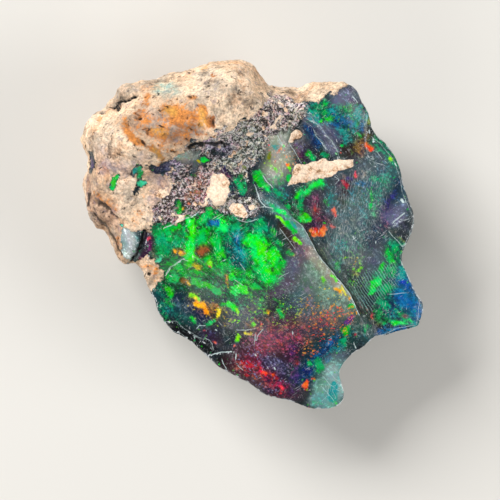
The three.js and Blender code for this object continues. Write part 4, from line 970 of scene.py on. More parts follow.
GROOVES = drawn(
    Groove,
    (0.35, 0.12, (-9.1, 7.4), (-8.6, 7.8), (-7.9, 8.0), (-7.5, 8.1), (-6.9, 8.45)),
    (0.3, 0.18, (-8.3, 7.62), (-8.05, 7.6)), (0.3, 0.2, (-6.8, 7.0)),
    (0.2, 0.16, (-6.75, 5.5), (-6.5, 5.35)), (0.16, 0.14, (-9.2, 7.0)),
    (0.14, 0.15, (-3.8, 5.1), (-3.4, 5.4), (-2.9, 5.35), (-2.3, 5.35), (-1.8, 5.5)),
    (0.14, 0.13, (-5.4, 6.5)), (0.14, 0.13, (-5.55, 7.45)), (0.16, 0.12, (-3.8, 9.8)),
    (0.14, 0.13, (-0.85, 8.4)), (0.1, 0.12, (-0.5, 8.6)), (0.08, 0.1, (-2.4, 9.5)),
    (0.22, 0.2, (-9.3, 1.95), (-8.7, 1.45)), (0.2, 0.16, (-8.7, 1.35), (-8.2, 0.95)),
    (0.15, 0.12, (-9.6, 1.3), (-9.0, 0.6), (-8.4, -0.3), (-7.9, -1.2)),
    (0.17, 0.16, (-6.45, 0.25), (-6.58, -0.4), (-6.95, -1.1), (-7.3, -1.65)), (0.16, 0.14, (-6.2, -2.3)),
    (0.1, 0.12, (-6.1, -1.4)), (0.16, 0.15, (-2.35, 6.6)),
    (0.16, 0.2, (-7.3, 6.4), (-6.9, 5.9), (-6.3, 5.6)), (0.14, 0.25, (-3.6, 6.3), (-3.0, 6.1)),
    (0.14, 0.25, (-5.6, 6.9), (-4.8, 6.95), (-4.0, 6.9)), (0.14, 0.22, (-3.5, 7.6), (-3.4, 6.9)),
    (0.1, 0.1, (0.4, 7.5), (1.1, 7.4)), (0.12, 0.15, (1.2, 8.5)),
    (0.12, 0.18, (-7.2, 3.9), (-6.6, 3.3), (-7.0, 2.6)), (0.12, 0.2, (-8.4, 2.8), (-8.2, 3.4)),
    (0.1, 0.15, (-6.2, 3.6), (-5.2, 3.3), (-5.0, 2.8)),
)


@dataclass(frozen=True)
class Cloud:
    """A noise pattern whose largest lumps have a real size."""

    width_mm: float
    detail: float
    rough: float = 0.6
    warp: float = 0.0

    def __iter__(self) -> Iterator[float]:
        """Gives a noise node's scale, detail, roughness and distortion."""
        return iter((per_metre(self.width_mm), self.detail, self.rough, self.warp))


@dataclass(frozen=True)
class Span:
    """A smooth ramp: it gives low where a value reaches start, and high where it reaches end."""

    start: float
    end: float
    low: float = 0.0
    high: float = 1.0

    def __iter__(self) -> Iterator[float]:
        """Gives a map range node's four limits."""
        return iter((self.start, self.end, self.low, self.high))


@dataclass(frozen=True)
class Layer:
    """What a finish gives the stone's shader: colour, roughness, height, and where its flashes show."""

    colour: Socket
    roughness: Socket
    height: Socket
    shine: Socket | None = None


def per_metre(width_mm: float) -> float:
    """The texture scale that makes a pattern's lumps this wide."""
    return 1 / (width_mm * MM)


class Use(Enum):
    """What a node is for: its type, the inputs given to it, in order, the output read, its settings."""

    PLACE = ("ShaderNodeTexCoord", (), "Object")
    MARK_COLOUR = ("ShaderNodeAttribute", (), "Color")
    MARK_SHARE = ("ShaderNodeAttribute", (), "Fac")
    TURNED = ("ShaderNodeMapping", ("Vector", "Rotation", "Scale"), 0, {"vector_type": "TEXTURE"})
    MOVED = ("ShaderNodeVectorMath", (0, 1, 2), 0, {"operation": "MULTIPLY_ADD"})
    NOISE = ("ShaderNodeTexNoise", ("Vector", "Scale", "Detail", "Roughness", "Distortion"), "Fac")
    CELLS = ("ShaderNodeTexVoronoi", ("Vector", "Scale"), "Color")
    RIBS = ("ShaderNodeTexWave", ("Vector", "Scale", "Distortion", "Detail", "Detail Scale"), "Fac",
            {"bands_direction": "X"})
    MATH = ("ShaderNodeMath", (0, 1, 2))
    TIMES = ("ShaderNodeMath", (0, 1), 0, {"operation": "MULTIPLY"})
    SPAN = ("ShaderNodeMapRange", (0, 1, 2, 3, 4), 0, {"interpolation_type": "SMOOTHSTEP"})
    BETWEEN = ("ShaderNodeMix", (0, 2, 3))
    # A Mix node's colour sockets come after those for numbers and vectors.
    MIX = ("ShaderNodeMix", (0, 6, 7), 2, {"data_type": "RGBA"})
    LIT = ("ShaderNodeVectorMath", (0, "Scale"), 0, {"operation": "SCALE"})
    SHIFTED = ("ShaderNodeHueSaturation", ("Color", "Hue"))
    SHADED = ("ShaderNodeValToRGB", (0,), "Color")
    SPLIT = ("ShaderNodeSeparateColor", (0,))
    BUMP = ("ShaderNodeBump", ("Height", "Distance", "Strength"))
    SKIN = ("ShaderNodeBsdfPrincipled",
            ("Base Color", "Roughness", "Normal", "IOR", "Specular IOR Level"))
    OUTPUT = ("ShaderNodeOutputMaterial", ("Surface",), None)

    def __init__(self, kind: str, inputs: tuple[str | int, ...], output: str | int | None = 0,
                 settings: dict[str, str] | None = None) -> None:
        """Names the parts of an option's value.

        Args:
            kind: The node's type.
            inputs: The inputs that are given, by name or number.
            output: The output read, if it has one.
            settings: What is set on every node of this use.
        """
        self.kind = kind
        self.inputs = inputs
        self.output = output
        self.settings = settings or {}


@dataclass
class NodeBench:
    """A material's node tree, and the one way in which nodes are added to it."""

    tree: bpy.types.NodeTree

    def __post_init__(self) -> None:
        """Empties the tree and reads where on the stone a point is, in metres."""
        self.tree.nodes.clear()
        self.place = self.add(Use.PLACE)

    def add(self, use: Use, *values: Socket | float | tuple[float, ...],
            **settings: str) -> Socket | None:
        """Adds a node with its settings and links.

        Args:
            use: What the node is for.
            values: Sockets or plain values for its inputs, in order.
            settings: More of the node's own properties.

        Returns:
            The output that this use reads.
        """
        node = self.tree.nodes.new(use.kind)
        for name, setting in (use.settings | settings).items():
            setattr(node, name, setting)
        for name, value in zip(use.inputs, values):
            if isinstance(value, Socket):
                self.tree.links.new(value, node.inputs[name])
            else:
                node.inputs[name].default_value = value
        return None if use.output is None else node.outputs[use.output]

    def sum(self, *terms: tuple[Socket, float]) -> Socket:
        """Adds up weighted values.

        Args:
            terms: Each value with its weight.

        Returns:
            The weighted sum.
        """
        total = 0.0
        for value, weight in terms:
            total = self.add(Use.MATH, value, weight, total, operation="MULTIPLY_ADD")
        return total


def with_stops(output: Socket, stops: Stops) -> Socket:
    """Sets the stops of a colour ramp.

    Args:
        output: The ramp's output.
        stops: Places from 0 to 1, each with a hue or a grey value.

    Returns:
        The same output.
    """
    elements = output.node.color_ramp.elements
    while len(elements) < len(stops):
        elements.new(1.0)
    for element, (place, shade) in zip(elements, stops):
        element.position = place
        element.color = linear(shade) if isinstance(shade, Hue) else (shade, shade, shade, 1.0)
    return output


def turned(degrees: float) -> tuple[float, float, float]:
    """A turn from the stone's right towards its top, as a Mapping node takes it."""
    return 0.0, 0.0, math.radians(degrees)


@dataclass(frozen=True)
class SandyCrust:
    """Weathered fine claystone and sand: matt, gritty, cream, with rust stains and painted shade in hollows."""

    lumps: Cloud = Cloud(1.1, 8.0, 0.74)
    grit: Cloud = Cloud(0.15, 3.0, 0.7)
    pits: Cloud = Cloud(0.32, 3.0, 0.6, 0.5)
    blush: Cloud = Cloud(0.45, 4.0, 0.7)
    weather: Cloud = Cloud(1.5, 5.0, 0.72)
    # How light the lumps are, from the hollows between them up to their tops: painted shade.
    shades: Stops = ((0.3, 0.2), (0.37, 0.46), (0.45, 0.86), (0.52, 1.02), (0.68, 1.02))
    gritty: Span = Span(0.3, 0.7, 0.66, 1.34)
    rosy: Span = Span(0.42, 0.6, 0.0, 0.55)
    ashen: Span = Span(0.5, 0.36, 0.0, 0.6)
    warm: Span = Span(0.54, 0.66, 0.0, 0.35)
    mauve: Span = Span(0.46, 0.34, 0.0, 0.5)
    soaked: Span = Span(2.72, 3.35, 0.0, 0.92)
    near_stain: Span = Span(0.0, 0.3)
    rust_level: Span = Span(0.38, 0.6, 0.4, 1.1)
    holes: Span = Span(0.6, 0.7, 0.0, 0.85)
    dullness: Span = Span(0.3, 0.7, 0.8, 0.92)

    def layer(self, bench: NodeBench) -> Layer:
        """Builds the crust's nodes.

        Args:
            bench: The material's node tree.

        Returns:
            The crust's colour, roughness and height.
        """
        stain = bench.add(Use.MARK_COLOUR, attribute_name="stain_colour").node.outputs
        lumps = bench.add(Use.NOISE, bench.place, *self.lumps)
        grit = bench.add(Use.NOISE, bench.place, *self.grit)
        pits = bench.add(Use.NOISE, bench.place, *self.pits)
        blush = bench.add(Use.NOISE, bench.place, *self.blush)
        weather = bench.add(Use.NOISE, bench.place, *self.weather)
        fine = bench.add(Use.SPAN, grit, *self.gritty)
        colour = bench.add(Use.MARK_COLOUR, attribute_name="rock_colour")
        for lie, ramp, hue in ((blush, self.rosy, Hue.ROCK_ROSE), (weather, self.ashen, Hue.SAND_GREY),
                               (weather, self.warm, Hue.STAIN), (blush, self.mauve, Hue.GRAIN_MAUVE)):
            colour = bench.add(Use.MIX, bench.add(Use.SPAN, lie, *ramp), colour, linear(hue))
        shades = with_stops(bench.add(Use.SHADED, lumps), self.shades)
        base = bench.add(Use.LIT, colour, bench.add(Use.TIMES, shades, fine))
        soak = bench.sum((lumps, 2.8), (grit, 1.0), (pits, 1.0), (stain["Alpha"], 1.0))
        near = bench.add(Use.SPAN, stain["Alpha"], *self.near_stain)
        soaked = bench.add(Use.TIMES, bench.add(Use.SPAN, soak, *self.soaked), near)
        # The rust is darker in the lumps' hollows: painted shade.
        level = bench.add(Use.TIMES, bench.add(Use.SPAN, lumps, *self.rust_level), fine)
        rust = bench.add(Use.LIT, stain["Color"], level)
        stained = bench.add(Use.MIX, soaked, base, rust)
        # The pits sink in the bump and are painted dark: painted shade.
        hole = bench.add(Use.SPAN, pits, *self.holes)
        holed = bench.add(Use.MIX, hole, stained, linear(Hue.PIT_SHADE))
        height = bench.sum((lumps, 2.2), (grit, 0.7), (hole, -0.8))
        return Layer(holed, bench.add(Use.SPAN, grit, *self.dullness), height)


@dataclass(frozen=True)
class SandGrains:
    """Sand bound by opal: fine dark, pale, brown and mauve grains, rough with a few bright faces."""

    # Finer than this the grains would be lost between a render's pixels.
    grain: Cloud = Cloud(0.14, 3.0, 0.75, 0.4)
    clump: Cloud = Cloud(0.42, 5.0, 0.78, 0.8)
    # How light a grain is, from dark to pale.
    shades: Stops = ((0.38, 0.06), (0.45, 0.2), (0.5, 0.4), (0.55, 0.7), (0.62, 1.0))
    clump_level: Span = Span(0.38, 0.6, 0.5, 4.4)
    tinge: float = 0.9
    # A thread lies where the clumps' noise passes its middle, and breaks up with the grain.
    thread_middle: float = 0.5
    thread: Span = Span(0.022, 0.008, 0.0, 0.9)
    thread_breaks: Span = Span(0.44, 0.52)
    chalk: Span = Span(0.57, 0.62, 0.0, 0.5)
    dullness: Span = Span(0.35, 0.65, 0.7, 0.35)

    def layer(self, bench: NodeBench) -> Layer:
        """Builds the grains' nodes.

        Args:
            bench: The material's node tree.

        Returns:
            The grains' colour, roughness and height.
        """
        grain = bench.add(Use.NOISE, bench.place, *self.grain)
        clump = bench.add(Use.NOISE, bench.place, *self.clump).node.outputs
        shades = with_stops(bench.add(Use.SHADED, grain), self.shades)
        level = bench.add(Use.TIMES, shades, bench.add(Use.SPAN, clump["Fac"], *self.clump_level))
        base = bench.add(Use.LIT, bench.add(Use.MARK_COLOUR, attribute_name="sand_colour"), level)
        tinged = bench.add(Use.MIX, self.tinge, base, clump["Color"], blend_type="OVERLAY")
        chalked = bench.add(Use.MIX, bench.add(Use.SPAN, grain, *self.chalk), tinged, linear(Hue.CREAM))
        # White mineral runs in thin broken threads between the grains.
        past = bench.add(Use.MATH, clump["Fac"], self.thread_middle, operation="SUBTRACT")
        away = bench.add(Use.MATH, past, operation="ABSOLUTE")
        unbroken = bench.add(Use.SPAN, grain, *self.thread_breaks)
        thread = bench.add(Use.TIMES, bench.add(Use.SPAN, away, *self.thread), unbroken)
        dusted = bench.add(Use.MIX, thread, chalked, linear(Hue.GLASS_WHITE))
        height = bench.sum((grain, 1.4), (clump["Fac"], 1.6))
        return Layer(dusted, bench.add(Use.SPAN, grain, *self.dullness), height)


@dataclass(frozen=True)
class CreamBits:
    """Pale bits of claystone in the opal: matt and faintly mottled with ochre, rose and grey."""

    mottle: Cloud = Cloud(0.5, 8.0, 0.78)
    grit: Cloud = Cloud(0.13, 2.0, 0.6)
    hues: Stops = ((0.34, Hue.GRAIN_BROWN), (0.39, Hue.SAND_BROWN), (0.44, Hue.ROCK_ROSE),
                   (0.5, Hue.CREAM), (0.7, Hue.CREAM))
    gritty: Span = Span(0.32, 0.68, 0.78, 1.18)
    dullness: Span = Span(0.3, 0.7, 0.8, 0.9)

    def layer(self, bench: NodeBench) -> Layer:
        """Builds the pale bits' nodes.

        Args:
            bench: The material's node tree.

        Returns:
            The bits' colour, roughness and height.
        """
        mottle = bench.add(Use.NOISE, bench.place, *self.mottle)
        grit = bench.add(Use.NOISE, bench.place, *self.grit)
        hues = with_stops(bench.add(Use.SHADED, mottle), self.hues)
        colour = bench.add(Use.LIT, hues, bench.add(Use.SPAN, grit, *self.gritty))
        height = bench.sum((mottle, 1.2), (grit, 0.5))
        return Layer(colour, bench.add(Use.SPAN, mottle, *self.dullness), height)


@dataclass(frozen=True)
class BlackOpal:
    """Black opal, freshly broken: dark clear glass with fibrous sheets of spectral colour inside."""

    fibre: Cloud = Cloud(0.3, 6.0, 0.68, 0.3)
    fibre_stretch: float = 2.6
    fibre_turn: float = -48.0
    # Finer than this the grain would be lost between a render's pixels.
    grain: Cloud = Cloud(0.16, 3.0, 0.72)
    patch: Cloud = Cloud(0.8, 4.0, 0.65)
    # What is left of a flash once fibres and grain have eaten into it.
    uneaten: Span = Span(2.33, 3.4)
    near_flash: Span = Span(0.0, 0.25)
    flicker: Span = Span(1.5, 2.6, -0.66, 0.14)
    calm: Span = Span(0.3, 0.95, 1.0, 0.4)
    flash_swing: Span = Span(0.35, 0.65, 0.488, 0.53)
    # How bright the ground is between the fibres, how much brighter on them, and how it is tinged.
    depth: float = 0.54
    glint: float = 2.1
    on_fibre: Span = Span(2.3, 3.7)
    tinge: float = 0.55
    dullness: Span = Span(0.3, 0.7, 0.12, 0.34)
    # As fine as a render can hold.
    speck_mm: float = 0.085
    speck_stir: Cloud = Cloud(0.2, 2.0)
    speck_stir_mm: float = 0.16
    speck_clump: Cloud = Cloud(0.6, 3.0, 0.7)
    speck_crowd: Span = Span(0.4, 0.6, 0.06, 1.1)
    speck_odds: float = 0.5
    speck_strength: Span = Span(0.0, 1.0, 0.1, 0.72)
    speck_swing: Span = Span(0.0, 1.0, 0.46, 0.54)
    crumb: Cloud = Cloud(0.12, 2.0, 0.7)
    chipped_and_glinting: Span = Span(0.95, 1.25, 0.0, 0.6)
    near_edge: Span = Span(0.0, 0.2)
    comb: Cloud = Cloud(0.036, 2.0, 0.6)
    comb_turn: float = 84.0
    combed: Span = Span(0.5, 0.74, 0.0, 0.36)
    # Each set of loose scratches: the way it runs, in degrees, and how wide a scratch is, in millimetres.
    scratch_sets: tuple[tuple[float, float], ...] = ((-52.0, 0.034), (31.0, 0.034), (82.0, 0.03))
    scratch_stretch: float = 16.0
    scratched: Span = Span(0.7, 0.82, 0.0, 0.5)
    scratch_patch: Cloud = Cloud(0.9, 2.0)
    scratch_patch_turn: float = 40.0
    in_scratch_patch: Span = Span(0.46, 0.62)
    rib_mm: float = 0.15
    rib_turn: float = 34.0
    # How strongly the ribs waver, in how many octaves, and at what share of their scale.
    rib_waver: tuple[float, float, float] = (7.0, 2.0, 0.45)
    crest: Span = Span(0.55, 0.95)
    rib_breaks: Cloud = Cloud(0.5, 3.0, 0.7)
    rib_broken: Span = Span(0.36, 0.6, 0.2, 1.0)

    def layer(self, bench: NodeBench) -> Layer:
        """Builds the opal's nodes.

        Args:
            bench: The material's node tree.

        Returns:
            The opal's colour, roughness and height.
        """
        flash = bench.add(Use.MARK_COLOUR, attribute_name="flash_colour").node.outputs
        share = flash["Alpha"]
        drawn_out = (self.fibre_stretch, 1.0, 1.0)
        along = bench.add(Use.TURNED, bench.place, turned(self.fibre_turn), drawn_out)
        fibre = bench.add(Use.NOISE, along, *self.fibre)
        grain = bench.add(Use.NOISE, bench.place, *self.grain)
        patch = bench.add(Use.NOISE, bench.place, *self.patch).node.outputs
        # Fibres and grain eat into each flash, most where it is faint.
        eaten = bench.sum((share, 1.6), (fibre, 1.9), (grain, 1.5), (patch["Fac"], 0.7))
        near = bench.add(Use.SPAN, share, *self.near_flash)
        shown = bench.add(Use.TIMES, bench.add(Use.SPAN, eaten, *self.uneaten), near)
        uneven = bench.add(Use.SPAN, bench.sum((fibre, 1.9), (grain, 2.3)), *self.flicker)
        calm = bench.add(Use.SPAN, share, *self.calm)
        glow = bench.add(Use.MATH, uneven, calm, 1.0, operation="MULTIPLY_ADD")
        swing = bench.add(Use.SPAN, patch["Fac"], *self.flash_swing)
        hued = bench.add(Use.SHIFTED, flash["Color"], swing)
        bright = bench.add(Use.LIT, hued, glow)
        sparkle = bench.add(Use.SPAN, bench.sum((fibre, 2.2), (grain, 3.0)), *self.on_fibre)
        sharp = bench.add(Use.TIMES, sparkle, sparkle)
        dim = bench.add(Use.MATH, sharp, self.glint, self.depth, operation="MULTIPLY_ADD")
        dark = bench.add(Use.LIT, bench.add(Use.MARK_COLOUR, attribute_name="ground_colour"), dim)
        tinged = bench.add(Use.MIX, self.tinge, dark, patch["Color"], blend_type="SOFT_LIGHT")
        specked = self.specks(bench, bench.add(Use.MIX, shown, tinged, bright))
        ribs = self.ribs(bench)
        ribbed = bench.add(Use.MIX, bench.sum((ribs, 0.5)), specked, linear(Hue.PALE_TEAL))
        scratched = self.scratches(bench, ribbed)
        height = bench.sum((fibre, 0.5), (ribs, 0.45))
        return Layer(scratched, bench.add(Use.SPAN, fibre, *self.dullness), height, shown)

    def specks(self, bench: NodeBench, under: Socket) -> Socket:
        """Adds pinfire specks, each a small ragged cell of its own colour.

        Args:
            bench: The material's node tree.
            under: The colour below the specks.

        Returns:
            The colour with its specks.
        """
        tint = bench.add(Use.MARK_COLOUR, attribute_name="speck_colour").node.outputs
        stir = bench.add(Use.NOISE, bench.place, *self.speck_stir).node.outputs["Color"]
        reach = (self.speck_stir_mm * MM,) * 3
        moved = bench.add(Use.MOVED, stir, reach, bench.place)
        cell = bench.add(Use.CELLS, moved, per_metre(self.speck_mm))
        dice = bench.add(Use.SPLIT, cell).node.outputs
        clump = bench.add(Use.NOISE, bench.place, *self.speck_clump)
        crowd = bench.add(Use.SPAN, clump, *self.speck_crowd)
        odds = bench.add(Use.TIMES, bench.sum((tint["Alpha"], self.speck_odds)), crowd)
        lit = bench.add(Use.MATH, dice["Red"], odds, operation="LESS_THAN")
        strength = bench.add(Use.SPAN, dice["Blue"], *self.speck_strength)
        swing = bench.add(Use.SPAN, dice["Green"], *self.speck_swing)
        varied = bench.add(Use.SHIFTED, tint["Color"], swing)
        return bench.add(Use.MIX, bench.add(Use.TIMES, lit, strength), under, varied)

    def scratches(self, bench: NodeBench, under: Socket) -> Socket:
        """Adds pale worn marks and painted highlights: edges that chip, with a painted glint along the rims,
        combed and loose scratches, and dust.

        Args:
            bench: The material's node tree.
            under: The colour below the scratches.

        Returns:
            The scratched colour.
        """
        # The edge mask holds worn edges and the painted highlight along the rims.
        wear_and_glint = bench.add(Use.MARK_SHARE, attribute_name="edge_wear_and_glint")
        crumb = bench.add(Use.NOISE, bench.place, *self.crumb)
        chips = bench.add(Use.SPAN, bench.sum((wear_and_glint, 0.75), (crumb, 1.2)), *self.chipped_and_glinting)
        total = bench.add(Use.TIMES, chips, bench.add(Use.SPAN, wear_and_glint, *self.near_edge))
        drawn_out = (self.scratch_stretch, 1.0, 1.0)
        along = bench.add(Use.TURNED, bench.place, turned(self.comb_turn), drawn_out)
        comb = bench.add(Use.SPAN, bench.add(Use.NOISE, along, *self.comb), *self.combed)
        combed = bench.add(Use.TIMES, comb, bench.add(Use.MARK_SHARE, attribute_name="hatch_share"))
        total = bench.add(Use.MATH, total, combed, operation="MAXIMUM")
        for turn, width_mm in self.scratch_sets:
            along = bench.add(Use.TURNED, bench.place, turned(turn), drawn_out)
            dash = bench.add(Use.NOISE, along, *Cloud(width_mm, 0.0))
            across = bench.add(Use.TURNED, bench.place, turned(turn + self.scratch_patch_turn))
            patch = bench.add(Use.NOISE, across, *self.scratch_patch)
            within = bench.add(Use.SPAN, patch, *self.in_scratch_patch)
            piece = bench.add(Use.TIMES, bench.add(Use.SPAN, dash, *self.scratched), within)
            total = bench.add(Use.MATH, total, piece, operation="MAXIMUM")
        return bench.add(Use.MIX, total, under, linear(Hue.GLASS_WHITE))

    def ribs(self, bench: NodeBench) -> Socket:
        """The fine ribs that a fast break leaves.

        Args:
            bench: The material's node tree.

        Returns:
            The ribs' height, 0 outside their patch.
        """
        # The wave texture repeats every pi / 10 of its scale.
        scale = per_metre(self.rib_mm) * math.pi / 10
        across = bench.add(Use.TURNED, bench.place, turned(self.rib_turn))
        wave = bench.add(Use.RIBS, across, scale, *self.rib_waver)
        crest = bench.add(Use.SPAN, wave, *self.crest)
        crests = bench.add(Use.TIMES, crest, bench.add(Use.MARK_SHARE, attribute_name="rib_share"))
        breaks = bench.add(Use.NOISE, bench.place, *self.rib_breaks)
        return bench.add(Use.TIMES, crests, bench.add(Use.SPAN, breaks, *self.rib_broken))


@dataclass(frozen=True)
class StoneFinish:
    """The whole stone's material: opal, with sand, crust and pale bits over it where their marks say."""

    opal: BlackOpal = BlackOpal()
    grains: SandGrains = SandGrains()
    crust: SandyCrust = SandyCrust()
    cream: CreamBits = CreamBits()
    # How far noise frays each material's edge.
    grains_fray: float = 3.4
    crust_fray: float = 2.4
    cream_fray: float = 0.7
    fray_noise: Cloud = Cloud(0.35, 5.0, 0.75)
    near_zone: Span = Span(0.0, 0.12)
    # Flashes shine through thin sand but not through the crust or the pale bits.
    shine_through: Span = Span(0.1, 0.7, 1.0, 0.25)
    bump_mm: float = 0.05
    opal_ior: float = 1.45
    # Below the glass's own gloss, so that the colours under the surface stay deep.
    gloss: float = 0.24
    # Single lines are measured in half widths from their middle.
    line_breaks: Cloud = Cloud(0.22, 4.0, 0.8)
    pale_core: Span = Span(2.4, 1.5)
    pale_lasting: Span = Span(0.5, 0.68, 0.12, 0.95)
    dark_core: Span = Span(2.2, 1.45)

    def build(self) -> bpy.types.Material:
        """Makes the material.

        Returns:
            Rough black opal with its host rock, as broken.
        """
        material = bpy.data.materials.new("black_opal_in_claystone_rough_broken")
        material.use_nodes = True
        bench = NodeBench(material.node_tree)
        shares = bench.add(Use.MARK_COLOUR, attribute_name="rock_shares")
        zones = bench.add(Use.SPLIT, shares).node.outputs
        ragged = bench.add(Use.NOISE, bench.place, *self.fray_noise)
        layer = self.opal.layer(bench)
        colour, rough, height = layer.colour, layer.roughness, layer.height
        through = bench.add(Use.SPAN, layer.shine, *self.shine_through)
        for finish, channel, fray in ((self.grains, "Green", self.grains_fray),
                                      (self.crust, "Red", self.crust_fray),
                                      (self.cream, "Blue", self.cream_fray)):
            layer = finish.layer(bench)
            moved = bench.sum((zones[channel], 1.0), (ragged, fray))
            edge = Span(0.4 + fray / 2, 0.6 + fray / 2)
            near = bench.add(Use.SPAN, zones[channel], *self.near_zone)
            share = bench.add(Use.TIMES, bench.add(Use.SPAN, moved, *edge), near)
            if finish is self.grains:
                share = bench.add(Use.TIMES, share, through)
            colour = bench.add(Use.MIX, share, colour, layer.colour)
            rough = bench.add(Use.BETWEEN, share, rough, layer.roughness)
            height = bench.add(Use.BETWEEN, share, height, layer.height)
        bump = bench.add(Use.BUMP, height, self.bump_mm * MM, 1.0)
        lined = self.lines(bench, colour)
        bench.add(Use.OUTPUT, bench.add(Use.SKIN, lined, rough, bump, self.opal_ior, self.gloss))
        return material

    def lines(self, bench: NodeBench, under: Socket) -> Socket:
        """Draws the single pale lines, scratches and painted highlights, and the dark lines of painted shade.

        Args:
            bench: The material's node tree.
            under: The colour below the lines.

        Returns:
            The colour with its lines.
        """
        parts = bench.add(Use.SPLIT, bench.add(Use.MARK_COLOUR, attribute_name="line_marks")).node.outputs
        breaks = bench.add(Use.NOISE, bench.place, *self.line_breaks)
        offset = bench.add(Use.MATH, parts["Red"], operation="ABSOLUTE")
        core = bench.add(Use.SPAN, bench.sum((offset, 1.0), (breaks, 2.6)), *self.pale_core)
        whole = bench.sum((breaks, 1.0), (parts["Green"], 0.28))
        lasting = bench.add(Use.SPAN, whole, *self.pale_lasting)
        pale = bench.add(Use.TIMES, core, bench.add(Use.TIMES, parts["Green"], lasting))
        solid = bench.add(Use.SPAN, bench.sum((offset, 1.0), (breaks, 1.9)), *self.dark_core)
        # The dark lines are painted shade in cracks and pits and a painted shadow below the long ledge.
        shaded = bench.add(Use.MIX, bench.add(Use.TIMES, solid, parts["Blue"]), under, linear(Hue.NEAR_BLACK))
        return bench.add(Use.MIX, pale, shaded, linear(Hue.CHIP_AND_GLINT_WHITE))


def read_mesh(shape: bmesh.types.BMesh) -> tuple[np.ndarray, np.ndarray]:
    """Reads the mesh's points and normals, in millimetres."""
    normals = np.array([v.normal for v in shape.verts], float)
    return np.array([v.co for v in shape.verts], float) / MM, normals


